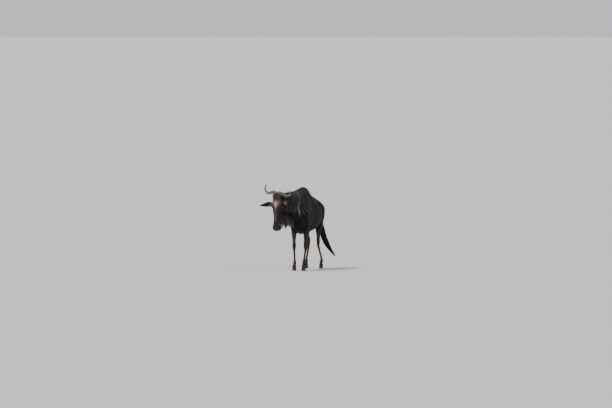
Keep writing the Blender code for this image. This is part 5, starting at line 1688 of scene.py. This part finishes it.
@dataclass
class Beard:
    """The beard: it hangs from the jaw and the underside of the neck, near black with painted shade, with pale ends."""

    hair: LongHair
    guides: int = 112
    hang: Hang = Hang(0.006, 0.6)
    clump: Clump = Clump(32, 0.017, 0.8)
    length: float = 0.215
    width: float = 0.0028
    seed: int = 6
    line: tuple[Triple, ...] = (
        (-0.212, -0.52, 0.915), (-0.186, -0.47, 0.885), (-0.142, -0.4, 0.865), (-0.092, -0.31, 0.83),
        (-0.05, -0.22, 0.775),
    )

    def build(self) -> None:
        """Makes the beard."""
        draw = np.random.default_rng(self.seed)
        line = smooth_rows(self.line, 8)
        count = self.guides
        t = (np.arange(count) + draw.uniform(0, 1, count)) / count
        across = unit(np.cross(unit(line[-1] - line[0]), UP))
        shift = draw.uniform(-1, 1, (count, 1)) * 0.03
        roots = spaced(line, t)[0] + across * shift
        lies = across * shift * 12 + np.array((-0.08, -0.22, -0.9))
        length = self.length * (0.62 + 0.5 * np.sin(np.pi * np.clip(t * 1.05 + 0.05, 0, 1)) ** 0.8)
        length = length * draw.uniform(0.75, 1.12, count)
        hairs = self.hair.grown(roots, lies, length, self.hang, self.clump, draw)
        total = len(hairs[0])
        # Painted shade: the pale beard is coloured near black, as in the shade under the neck; some ends stay pale.
        tint = np.array((0.01, 0.01, 0.013)) * draw.uniform(0.8, 1.8, (total, 1))
        pale = (draw.random((total, 1)) < 0.55) * draw.uniform(0.4, 1.0, (total, 1))
        tip = blended(tint, (0.27, 0.24, 0.205), pale)
        material = HairFinish("beard_hair", 0.5, 0.25).material()
        self.hair.dress("beard", hairs, self.width, (tint, tip), draw, material, "coat_neck")


@dataclass
class Forelock:
    """The tuft between the horns, which falls over the forehead."""

    hair: LongHair
    guides: int = 46
    hang: Hang = Hang(0.003, 0.9)
    clump: Clump = Clump(22, 0.009, 0.6, 0.001)
    width: float = 0.0021
    seed: int = 7

    def build(self) -> None:
        """Makes the forelock."""
        draw = np.random.default_rng(self.seed)
        coat, body = self.hair.coat, self.hair.coat.body
        a = draw.uniform(-0.045, 0.034, self.guides)
        s = draw.uniform(-0.03, 0.03, self.guides) * np.where(a < -0.008, 0.35, 1.0)
        crown = eased(a, -0.004, -0.016)
        roots = body.from_head(np.stack([s, a, 0.06 + 0 * s], 1))
        lies = np.stack([s * 10, 0.6 - 0.5 * crown, 0.55 + 0.3 * crown], 1) @ body.axes.T
        length = draw.uniform(0.045, 0.085, self.guides) * (1 - 0.35 * crown)
        hairs = self.hair.grown(roots, lies, length, self.hang, self.clump, draw)
        tint = coat.shaded(np.tile((0.055, 0.032, 0.026), (len(hairs[0]), 1)), 0.35, draw)
        material = HairFinish("forelock_hair", 0.5, 0.3).material()
        self.hair.dress("forelock", hairs, self.width, (tint, tint * 1.6), draw, material, "coat_head")


@dataclass
class Tassel:
    """The long black hair of the tail."""

    hair: LongHair
    count: int = 3300
    width: float = 0.003
    seed: int = 8
    end: tuple[Triple, ...] = ((0.145, 1.15, 0.385), (0.2, 1.175, 0.285), (0.283, 1.2, 0.165))

    def build(self) -> None:
        """Makes the tassel."""
        draw = np.random.default_rng(self.seed)
        coat = self.hair.coat
        dock = coat.body.dock()
        path = smooth_rows([*[row[:3] for row in dock], *self.end], 6)
        run = np.concatenate([[0], np.cumsum(np.linalg.norm(np.diff(path, axis=0), axis=1))])
        run /= run[-1]
        radii = np.interp(run, run[np.arange(len(dock)) * 6], [row[3] for row in dock])
        count = self.count
        start = 0.16 + 0.42 * draw.random(count) ** 0.8
        end = np.minimum(draw.uniform(0.97, 1.0, count), start + draw.uniform(0.26, 0.5, count))
        share = np.linspace(0, 1, 8)[None]
        along = start[:, None] + (end - start)[:, None] * share
        line = np.stack([np.interp(along, run, path[:, k]) for k in range(3)], 2)
        way = unit(np.gradient(line, axis=1))
        first = unit(np.cross(way, (0, 1, 0)))
        second = np.cross(way, first)
        angle = draw.uniform(0, 2 * np.pi, (count, 1, 1)) + draw.normal(0, 0.25, (count, 1, 1)) * share[..., None]
        radial = np.cos(angle) * first + np.sin(angle) * second
        root = np.interp(start, run, radii) * 0.85
        spread = draw.uniform(0.2, 1.0, (count, 1)) * 0.046
        swell = np.clip((along - 0.14) * 6, 0.15, 1) * np.clip((1.03 - along) * 3.0, 0, 1)
        grown = np.sin(0.5 * np.pi * share**0.7)
        radius = root[:, None] * (1 - grown) + spread * grown * swell
        line = line + radial * radius[..., None]
        wave = 0.004 * np.sin(draw.uniform(0, 6.28, (count, 1)) + along * 22) * share
        line = line + first * wave[..., None]
        tint = coat.shaded(np.tile(coat.black, (count, 1)) * 0.8, 0.4, draw)
        material = HairFinish("tail_hair", 0.42, 0.35).material()
        tints = (tint, tint * 1.4)
        self.hair.dress("tassel", (line, radial), self.width, tints, draw, material, "hair_tail", "tail")


@dataclass
class Fringe:
    """Coarse hair that falls over the top of every hoof."""

    coat: Coat
    skin: Piece
    each: int = 420
    length: float = 0.02
    width: float = 0.0022
    seed: int = 9

    def build(self) -> None:
        """Makes the fringe of all four feet."""
        draw = np.random.default_rng(self.seed)
        coat, body = self.coat, self.coat.body
        p = positions(self.skin) - body.shift
        legs = (*body.forelegs, *body.hindlegs)
        band = np.flatnonzero((p[:, 2] > 0.06) & (p[:, 2] < 0.084))
        near = [band[np.hypot(*(p[band, :2] - np.array(leg.foot)).T) < 0.09] for leg in legs]
        pick = np.concatenate([draw.choice(group, self.each) for group in near])
        feet = np.repeat([leg.foot for leg in legs], self.each, 0)
        root = p[pick] + draw.normal(0, 0.0012, (len(pick), 3))
        out = unit(root - np.hstack([feet, root[:, 2:]]))
        way = unit(out * 0.42 + np.array((0, 0, -1)) + 0.12 * draw.normal(size=root.shape))
        length = self.length * draw.uniform(0.6, 1.2, len(root))
        share = np.linspace(0, 1, 4)[None, :, None]
        lines = root[:, None] + way[:, None] * length[:, None, None] * share
        lines = lines + out[:, None] * (0.004 * share * (1 - share) - 0.001)
        tint = coat.shaded(coat.tint(root + np.array((0, 0, 0.02))), 0.25, draw)
        width = self.width * draw.uniform(0.7, 1.2, len(root))
        faces = np.repeat(out[:, None], 4, 1)
        blades = Blades(lines, faces, width, tint, tint * 1.3, root, coat.zone(root), flat=0.35, waist=0.9)
        material = HairFinish("fringe_hair", 0.55, 0.22).material()
        dressed(blades.build("coronet_fringe", coat), material, "coat_leg")


# Horns, ears, eyes and hooves
class HornShape(NamedTuple):
    """How much of the full rise and span a horn has, and its finish."""

    rise: float
    span: float
    finish: HornFinish


@dataclass
class Horns:
    """Two horns that dip from the boss, sweep out and curl up and in."""

    body: Anatomy
    lean: float = math.tan(math.radians(11))
    sides: int = 28
    shapes: dict[Side, HornShape] = field(
        default_factory=lambda: {
            # The left horn gets a darker copy of the keratin: painted shade, as that horn is in shadow.
            Side.LEFT: HornShape(
                0.72, 0.95, HornFinish("horn_keratin_dark", (0.064, 0.054, 0.048), (0.118, 0.103, 0.093))
            ),
            Side.RIGHT: HornShape(1.0, 0.88, HornFinish()),
        }
    )
    line: tuple[tuple[float, float, float, float], ...] = (
        (0.008, -0.016, 0.012, 0.012), (0.012, -0.017, 0.015, 0.0215), (0.022, -0.018, 0.02, 0.0285),
        (0.062, -0.022, 0.024, 0.028), (0.106, -0.01, 0.016, 0.0235), (0.15, 0.006, 0.006, 0.02),
        (0.19, -0.006, -0.002, 0.017), (0.216, -0.046, -0.006, 0.0135), (0.212, -0.093, -0.003, 0.009),
        (0.192, -0.13, 0.004, 0.0022),
    )

    def build(self) -> None:
        """Makes both horns."""
        for side in Side:
            rise, span, finish = self.shapes[side]
            rows = []
            for s, a, n, r in self.line:
                up = a * (rise if a < -0.03 else 1)
                rows.append((s * (span if s > 0.1 else 1), up + side.value * s * self.lean, n, r))
            table = smooth_rows(rows, 12)
            table[:, 0] *= side.value
            share = np.clip(np.linspace(-0.2, 1, len(table)), 0, 1)
            rough = (1 - eased(share, 0.25, 0.6)) * eased(share, 0.0, 0.05)
            ringed = 0.5 + 0.5 * np.sin(share * 95 + 2.0 * np.sin(share * 17))
            table[:, 3] *= 1 - 0.03 * rough * (1 - ringed)
            table[:, 3] *= 1 - 0.012 * np.sin(share * 31) * (1 - share)
            table[:, :3] = self.body.from_head(table[:, :3])
            obj = swept(f"horn_piece_{side.word}", table, self.sides)
            along = np.append(np.repeat(share, self.sides), (0.0, 1.0))
            set_attributes(obj, along=along, rings=np.append(np.repeat(ringed * rough, self.sides), (0.0, 0.0)))
            obj.data.transform(Matrix.Translation(self.body.shift))
            dressed(obj, finish.material(), "horn", f"horn_{side.word}")


class EarShape(NamedTuple):
    """An ear's root, direction and opening in head axes, as on the left side, with its colours and the shares of its
    painted light.
    """

    root: Triple
    way: Triple
    opening: Triple
    back: Triple
    hair: Triple
    rim: float
    spot: float
    zone: Zone


@dataclass
class Ears:
    """Two cupped ears, held out sideways, with fur outside and long pale hair inside the rim."""

    coat: Coat
    length: float = 0.232
    width: float = 0.078
    thick: float = 0.004
    inner: int = 800
    outer: int = 2600
    seed: int = 31
    shapes: dict[Side, EarShape] = field(
        default_factory=lambda: {
            # Painted light: the left ear is coloured as lit, with a paler back and inner hair, a stronger orange rim
            # glow and a bright spot; the right ear's colours are darker, as in shade.
            Side.LEFT: EarShape(
                (0.066, 0.118, -0.03), (0.86, 0.12, -0.48), (0.35, 0.35, 0.8),
                (0.085, 0.05, 0.032), (0.24, 0.16, 0.1), 0.55, 0.9, Zone.EAR_LEFT,
            ),
            Side.RIGHT: EarShape(
                (0.066, 0.134, -0.03), (0.97, 0.1, -0.1), (0.12, 0.35, 0.9),
                (0.045, 0.032, 0.026), (0.12, 0.1, 0.09), 0.2, 0.3, Zone.EAR_RIGHT,
            ),
        }
    )

    def surface(self, side: Side, t: Array, v: Array, inside: Array) -> Array:
        """Points of an ear.

        Args:
            side: Which ear.
            t: Shares along it.
            v: Shares across it, from -1 to 1.
            inside: How far the points are sunk from the back towards the cup.

        Returns:
            The points in the working frame.
        """
        shape = self.shapes[side]
        way = unit(np.array(shape.way))
        opening = np.array(shape.opening)
        opening = unit(opening - way * (opening @ way))
        t, v = np.broadcast_arrays(t, v)
        half = self.width / 2 * np.minimum(1.0, 0.42 + 2.0 * t) * (1 - np.maximum(t - 0.3, 0) ** 1.7 / 0.7**1.7 * 0.93)
        cup = half * (0.95 - 0.45 * t)
        rolled = eased(t, 0.3, 0.0)
        tube = 0.62 * half
        turn = v * 0.86 * np.pi
        wave = 0.0016 * np.sin(t * 9 + v * 2) * np.abs(v) ** 3
        centre = np.array(shape.root) + way * (self.length * (t * 1.05 - 0.055))[..., None]
        centre = centre + opening * (0.01 * np.sin(np.pi * t) + wave - cup)[..., None]
        across = (half - inside) * v * (1 - rolled) + (tube - inside) * np.sin(turn) * rolled
        rise = (inside + cup * v * v) * (1 - rolled) + (tube - (tube - inside) * np.cos(turn)) * rolled
        found = centre + np.cross(way, opening) * across[..., None] + opening * rise[..., None]
        return self.coat.body.from_head(found * np.array((side.value, 1, 1)))

    def build(self) -> None:
        """Makes both ears and their hair."""
        draw = np.random.default_rng(self.seed)
        leather = SkinFinish("ear_skin", 0.6, 0.0009).material()
        hair = HairFinish("ear_hair", 0.5, 0.3).material()
        for side in Side:
            dressed(self.leaf(side), leather, "ear", f"ear_{side.word}")
            dressed(self.fringe(side, draw), hair, "ear")

    def tone(self, side: Side, t: Array, v: Array, inside: bool) -> Array:
        """The ear's colours, with painted light: an orange glow along the rim and a pale spot near the base.

        Args:
            side: Which ear.
            t: Shares along it.
            v: Shares across it.
            inside: Whether they are in the cup.

        Returns:
            Linear colours.
        """
        t, v = np.broadcast_arrays(t, v)
        shape = self.shapes[side]
        colour = np.array((0.03, 0.023, 0.02) if inside else shape.back) * np.ones((*t.shape, 1))
        # Painted glow: orange along the rim, as where light shines through the ear.
        rim = (eased(np.abs(v), 0.78, 0.98) * eased(t, 0.5, 0.2))[..., None] * shape.rim
        colour = blended(colour, (0.3, 0.16, 0.075), rim)
        # Painted light: a pale spot near the base of the ear.
        spot = np.exp(-(((t - 0.27) / 0.1) ** 2) - ((v + 0.25) / 0.5) ** 2)[..., None] * shape.spot
        colour = blended(colour, (0.66, 0.58, 0.48), spot)
        return blended(colour, (0.018, 0.015, 0.014), eased(t, 0.72, 1.0)[..., None] * 0.6)

    def leaf(self, side: Side) -> Piece:
        """One ear's skin."""
        rows, columns = 34, 19
        t = np.linspace(0, 0.985, rows)[:, None]
        v = np.linspace(-1, 1, columns)[None]
        thick = self.thick * (1.2 - 0.7 * t)
        back, front = self.surface(side, t, v, 0.0 * t), self.surface(side, t, v[:, ::-1], thick)
        points = np.concatenate([back, front], 1).reshape(-1, 3)
        tint = np.concatenate([self.tone(side, t, v, False), self.tone(side, t, v[:, ::-1], True)], 1).reshape(-1, 3)
        count = 2 * columns
        faces = [tuple(range(count))[::-1], tuple(range(len(points) - count, len(points)))]
        faces += tube_faces(rows, count)
        obj = closed(f"ear_piece_{side.word}", points + self.coat.body.shift, faces)
        set_attributes(obj, tint, bare=0.0, upright=0.0)
        loops = read(obj.data.loops, "vertex_index", np.int32)
        zone = np.full(len(loops), ZONES.index(self.shapes[side].zone))
        lay_map(obj, self.coat.patch((loops // count) / rows, (loops % count) / count, zone))
        return obj

    def fringe(self, side: Side, draw: Draw) -> Piece:
        """One ear's fur and the long hair inside its rim.

        Args:
            side: Which ear.
            draw: The random numbers.

        Returns:
            The piece.
        """
        t = np.concatenate([draw.uniform(0.02, 0.95, self.outer), draw.uniform(0.06, 0.8, self.inner)])
        edge = draw.choice((-1, 1), self.inner) * draw.uniform(0.7, 0.97, self.inner)
        v = np.concatenate([draw.uniform(-1, 1, self.outer), edge])
        long = np.arange(len(t)) >= self.outer
        inside = np.where(long, self.thick, 0.0) * (1.2 - 0.7 * t)
        root = self.surface(side, t, v, inside)
        ahead = unit(self.surface(side, np.minimum(t + 0.02, 1), v, inside) - root)
        out = unit(self.surface(side, t, v, inside + self.thick) - root)
        out[: self.outer] *= -1
        inward = unit(self.surface(side, t, v * 0, inside) - root + out * 0.004)
        way = np.where(long[:, None], ahead * 0.9 + inward * 0.7 + out * 0.35, ahead + out * 0.05)
        way = unit(way + 0.12 * draw.normal(size=way.shape))
        length = np.where(long, 0.028, 0.013) * draw.uniform(0.6, 1.2, len(t)) * (1.1 - 0.5 * t)
        reach = np.linspace(0, 1, 3)[None, :, None]
        lines = root[:, None] + way[:, None] * (length[:, None, None] * reach)
        lines = lines + out[:, None] * (-0.0006 + 0.002 * reach)
        shape = self.shapes[side]
        # The long inner hair is paler near the base; its colour is painted lit on the left ear and in shade on the
        # right.
        share = np.exp(-(((t - 0.22) / 0.16) ** 2))[:, None]
        hair = np.array(shape.hair) * share + np.array((0.045, 0.033, 0.027)) * (1 - share)
        tint = self.coat.shaded(np.where(long[:, None], hair, self.tone(side, t, v, False)), 0.25, draw)
        zone = np.full(len(t), ZONES.index(shape.zone))
        faces = np.repeat(out[:, None], 3, 1)
        blades = Blades(lines, faces, np.where(long, 0.0013, 0.0019), tint, tint * 1.2, root, zone, flat=0.6, waist=0.9)
        return blades.build(f"ear_hair_{side.word}", self.coat)


@dataclass
class Eyes:
    """The eyes with their lids and lashes."""

    coat: Coat
    half_long: float = 1.15
    upper: float = 0.5
    lower: float = 0.44
    level: float = -0.0018
    spacing: tuple[float, ...] = (0.14, 0.05, 0.0, 0.0, 0.03, 0.08, 0.14, 0.22, 0.29, 0.36, 0.46, 0.6)
    raised: tuple[float, ...] = (0.0001, 0.0003, 0.0005, 0.0004, 0.0014, 0.0019, 0.0018, 0.0013, 0.0003, 0.001, 0.0006,
                                 -0.0014)
    on_ball: int = 3
    crease: int = 8
    seed: int = 41

    def build(self) -> None:
        """Makes both eyes."""
        wet, lid = EyeFinish().material(), SkinFinish("lid_skin", 0.5, 0.0006).material()
        lash = HairFinish("lash_hair", 0.4, 0.4).material()
        for side in Side:
            dressed(self.ball(side), wet, "eye", f"eye_{side.word}")
            dressed(self.lids(side), lid, "coat_head")
            dressed(self.lashes(side), lash, "coat_head")

    def ball(self, side: Side) -> Piece:
        """One eyeball with a slight bulge over the iris."""
        body = self.coat.body
        look = body.look
        rings, sides = 28, 40
        polar = np.linspace(0, np.pi, rings)[1:-1, None]
        turn = (np.arange(sides) / sides * 2 * np.pi)[None]
        grid = np.stack([np.cos(polar) + 0 * turn, np.sin(polar) * np.cos(turn), np.sin(polar) * np.sin(turn)], -1)
        grid = np.vstack([grid.reshape(-1, 3), (1, 0, 0), (-1, 0, 0)])
        away = np.arccos(np.clip(grid[:, 0], -1, 1))
        bulge = 1 + 0.035 * np.exp(-((away / 0.55) ** 2))
        ways = grid @ np.array([look, body.slant, body.short])
        points = body.from_head((body.eye + ways * (body.eye_radius * 0.985 * bulge)[:, None]) * (side.value, 1, 1))
        top, last = len(points) - 2, (rings - 3) * sides
        faces = tube_faces(rings - 2, sides)
        faces += [(j, (j + 1) % sides, top) for j in range(sides)]
        faces += [(last + (j + 1) % sides, last + j, top + 1) for j in range(sides)]
        obj = closed(f"eye_piece_{side.word}", points + body.shift, faces)
        up = body.axes.T @ (0, 0, 1)
        up = unit(up - look * (up @ look))
        pupil = np.hypot(ways @ np.cross(look, up) / 0.42, ways @ up / 0.2) + (grid[:, 0] < 0) * 9
        set_attributes(obj, iris=away / 0.8, pupil=pupil)
        return obj

    def rim(self, angle: Array) -> Array:
        """The almond opening: directions from the eye's middle.

        Args:
            angle: Angles round the opening.

        Returns:
            Unit directions in head axes.
        """
        body = self.coat.body
        height = np.where(np.sin(angle) > 0, self.upper, -self.lower)
        lift = height * np.abs(np.sin(angle)) ** 1.25
        long = np.cos(angle) * self.half_long
        return unit(body.look * 0.72 + body.slant * long[:, None] + body.short * lift[:, None])

    def lids(self, side: Side) -> Piece:
        """One eye's lids, rolled at the rim and sunk into the skin round it."""
        body = self.coat.body
        look = body.look
        sides = 72
        angle = np.arange(sides) / sides * 2 * np.pi
        edge = self.rim(angle)
        polar = np.arccos(np.clip(edge @ look, -1, 1))
        away = unit(edge - look * (edge @ look)[:, None])
        rows = []
        for number, (more, raised) in enumerate(zip(self.spacing, self.raised, strict=True)):
            way = look * np.cos(polar + more)[:, None] + away * np.sin(polar + more)[:, None]
            height = body.eye_radius + raised + 0 * polar
            if number >= self.on_ball:
                fold = 0.0012 * (1 - eased(np.sin(angle), -0.2, 0.5)) if number == self.crease else 0.0
                height = np.maximum(body.lid_height(way, self.level), body.eye_radius + 0.0004) + raised + fold
            rows.append(body.eye + way * height[:, None])
        points = body.from_head(np.concatenate(rows) * (side.value, 1, 1))
        obj = closed(f"lids_{side.word}", points + body.shift, tube_faces(len(rows), sides))
        share = np.repeat(np.arange(len(rows)) / (len(rows) - 1), sides)[:, None]
        tint = np.array((0.01, 0.009, 0.009)) * (1 - share) + self.coat.tint(points) * share
        set_attributes(obj, tint, bare=np.clip(1.2 - 1.6 * share[:, 0], 0, 1), upright=1.0)
        zone = np.full(len(points), ZONES.index(Zone.HEAD))
        places = self.coat.patch(*self.coat.unwrapped(points, zone), zone)
        lay_map(obj, places[read(obj.data.loops, "vertex_index", np.int32)])
        return obj

    def lashes(self, side: Side) -> Piece:
        """One eye's lashes."""
        body = self.coat.body
        draw = np.random.default_rng(self.seed)
        angle = np.concatenate([draw.uniform(0.25, 2.9, 60), draw.uniform(-2.6, -0.5, 22)])
        edge = self.rim(angle)
        top = (angle > 0)[:, None]
        root = body.eye + edge * (body.eye_radius + 0.0016)
        way = unit(edge * 0.9 + body.look * 0.7 + np.where(top, -0.25, -0.15) * body.short)
        curl = np.where(top, 0.5, -0.4) * body.short
        length = np.where(angle > 0, 0.013, 0.006) * draw.uniform(0.7, 1.2, len(angle))
        t = np.linspace(0, 1, 5)[None, :, None]
        lines = root[:, None] + (way[:, None] * t + curl[:, None] * t**2) * length[:, None, None]
        lines = body.from_head(lines * (side.value, 1, 1))
        faces = np.repeat((body.from_head((root + edge) * (side.value, 1, 1)) - lines[:, 0])[:, None], 5, 1)
        tint = np.tile((0.008, 0.007, 0.007), (len(angle), 1))
        zone = np.full(len(angle), ZONES.index(Zone.HEAD))
        blades = Blades(lines, faces, np.full(len(angle), 0.0008), tint, tint, lines[:, 0], zone, flat=1.0, waist=1.0)
        return blades.build(f"lashes_{side.word}", self.coat)


@dataclass
class Hooves:
    """Eight claws, two to a foot: flat inside and below, round outside, pointed at the toe."""

    body: Anatomy
    width: float = 0.0325
    toe: float = 0.068
    heel: float = 0.034
    toe_slope: float = 0.44
    heel_slope: float = 0.1
    splay: float = 0.0035
    levels: tuple[float, ...] = (0.0, 0.0015, 0.006, 0.014, 0.024, 0.034, 0.044, 0.054, 0.064, 0.074)
    swell: tuple[float, ...] = (0.955, 0.985, 1.01, 1.01, 0.995, 0.975, 0.95, 0.925, 0.9, 0.86)

    def build(self) -> None:
        """Makes every claw."""
        material = HoofFinish().material()
        for kind, legs, size in (("fore", self.body.forelegs, 1.0), ("hind", self.body.hindlegs, 0.95)):
            for leg in legs:
                for place, way in (("outer", leg.side), ("inner", -leg.side)):
                    name = f"{kind}_{Side(leg.side).word}_{place}"
                    dressed(self.claw(f"claw_{name}", leg.foot, way, size), material, "hoof", f"hoof_{name}")

    def claw(self, name: str, foot: tuple[float, float], way: int, size: float) -> Piece:
        """Makes one claw.

        Args:
            name: The piece's name.
            foot: The foot's place.
            way: Which way its outer wall looks.
            size: Its size against a fore claw.

        Returns:
            The piece.
        """
        (x, y), splay = foot, self.splay
        points = []
        for number, (height, swell) in enumerate(zip(self.levels, self.swell, strict=True)):
            toe = -self.toe + self.toe_slope * height
            heel = self.heel - self.heel_slope * height
            inset = 0.0012 if number == 0 else 0.0
            outline = [(0.0006 + inset, heel - 0.003 - inset)]
            for t in np.linspace(0, 1, 18)[1:-1]:
                reach = self.width * swell * math.sin(math.pi * t**0.8) ** 0.6
                outline.append((max(reach - inset, 0.007), heel + (toe - heel) * t))
            outline += [(splay + 0.005, toe + 0.0008 + inset), (splay + 0.002, toe + 0.0004 + inset)]
            outline += [(splay + inset, toe + 0.005), (splay * 0.4 + inset, (toe + heel) / 2)]
            rise = 0.3 * 0.35 if number > 5 else 0.0
            points += [(x + way * u * size, y + v * size, height - rise * (v + 0.01)) for u, v in outline]
        count = len(points) // len(self.levels)
        faces = [tuple(range(count)), tuple(range(len(points) - count, len(points)))]
        faces += tube_faces(len(self.levels), count)
        obj = closed(name, np.array(points) + self.body.shift * (1, 1, 0), faces)
        set_attributes(obj, along=np.repeat(np.array(self.levels) / self.levels[-1], count))
        obj.data.set_sharp_from_angle(angle=math.radians(50))
        return obj


# The studio
@dataclass
class Studio:
    """A pale floor, soft light and the camera."""

    body: Anatomy
    heading: float = math.radians(13.5)
    rise: float = math.radians(1.49)
    distance: float = 104.6
    lens: float = 400.0
    aim_height: float = 1.023
    aim_side: float = (306 - 300.2) / 65
    rings: tuple[float, ...] = (2.0, 8.0, 40.0, 250.0, 2500.0)

    def build(self) -> None:
        """Sets up the floor, the light and the camera."""
        self.floor()
        self.light()
        self.camera()

    def floor(self) -> None:
        """Lays the floor, finer under the model than far off."""
        edited = bmesh.new()
        sides = 64
        turn = [i / sides * 2 * math.pi for i in range(sides)]
        centre = edited.verts.new((0, 0, 0))
        rings = [[edited.verts.new((r * math.cos(t), r * math.sin(t), 0)) for t in turn] for r in self.rings]
        for j in range(sides):
            edited.faces.new((centre, rings[0][j], rings[0][(j + 1) % sides]))
            for near, far in zip(rings[:-1], rings[1:], strict=True):
                edited.faces.new((near[j], far[j], far[(j + 1) % sides], near[(j + 1) % sides]))
        obj = linked("studio_floor", keep(edited, bpy.data.meshes.new("studio_floor")))
        obj.data.materials.append(FloorFinish().material())

    def light(self) -> None:
        """Adds the pale surroundings and a wide soft key from above."""
        world = bpy.data.worlds.new("studio")
        bpy.context.scene.world = world
        world.use_nodes = True
        shade = world.node_tree.nodes["Background"]
        shade.inputs["Color"].default_value = (0.93, 0.95, 1.0, 1)
        shade.inputs["Strength"].default_value = 0.75
        for name, strength, angle, way in (("key", 2.6, 12, (0.45, 0.55, -1.0)), ("fill", 0.8, 60, (-0.6, 1.0, -0.35))):
            lamp = bpy.data.lights.new(name, "SUN")
            lamp.energy, lamp.angle = strength, math.radians(angle)
            linked(name, lamp).rotation_euler = Vector(way).to_track_quat("-Z", "Y").to_euler()

    def camera(self) -> None:
        """Places the camera as the photograph was taken."""
        ahead, aside, level = math.cos(self.heading), math.sin(self.heading), math.cos(self.rise)
        away = Vector((aside * level, -ahead * level, math.sin(self.rise)))
        target = Vector((ahead, aside, 0)) * self.aim_side + Vector((0, 0, self.aim_height)) + Vector(self.body.shift)
        lens = bpy.data.cameras.new("camera")
        lens.lens, lens.sensor_width, lens.sensor_fit, lens.clip_end = self.lens, 36, "HORIZONTAL", 4000
        obj = linked("camera", lens)
        obj.location = target + away * self.distance
        obj.rotation_euler = away.to_track_quat("Z", "Y").to_euler()
        bpy.context.scene.camera = obj


def main() -> None:
    """Builds the pieces in order."""
    logging.basicConfig(level=logging.INFO, format="%(relativeCreated)6d %(message)s")
    body = Anatomy()
    coat = Coat(body)
    Studio(body).build()
    skin = Skin(coat).build()
    ShortCoat(coat, skin).build()
    hair = LongHair(coat, skin)
    Mane(hair).build()
    Beard(hair).build()
    Forelock(hair).build()
    Tassel(hair).build()
    Fringe(coat, skin).build()
    Horns(body).build()
    Ears(coat).build()
    Eyes(coat).build()
    Hooves(body).build()


if __name__ == "__main__":
    main()
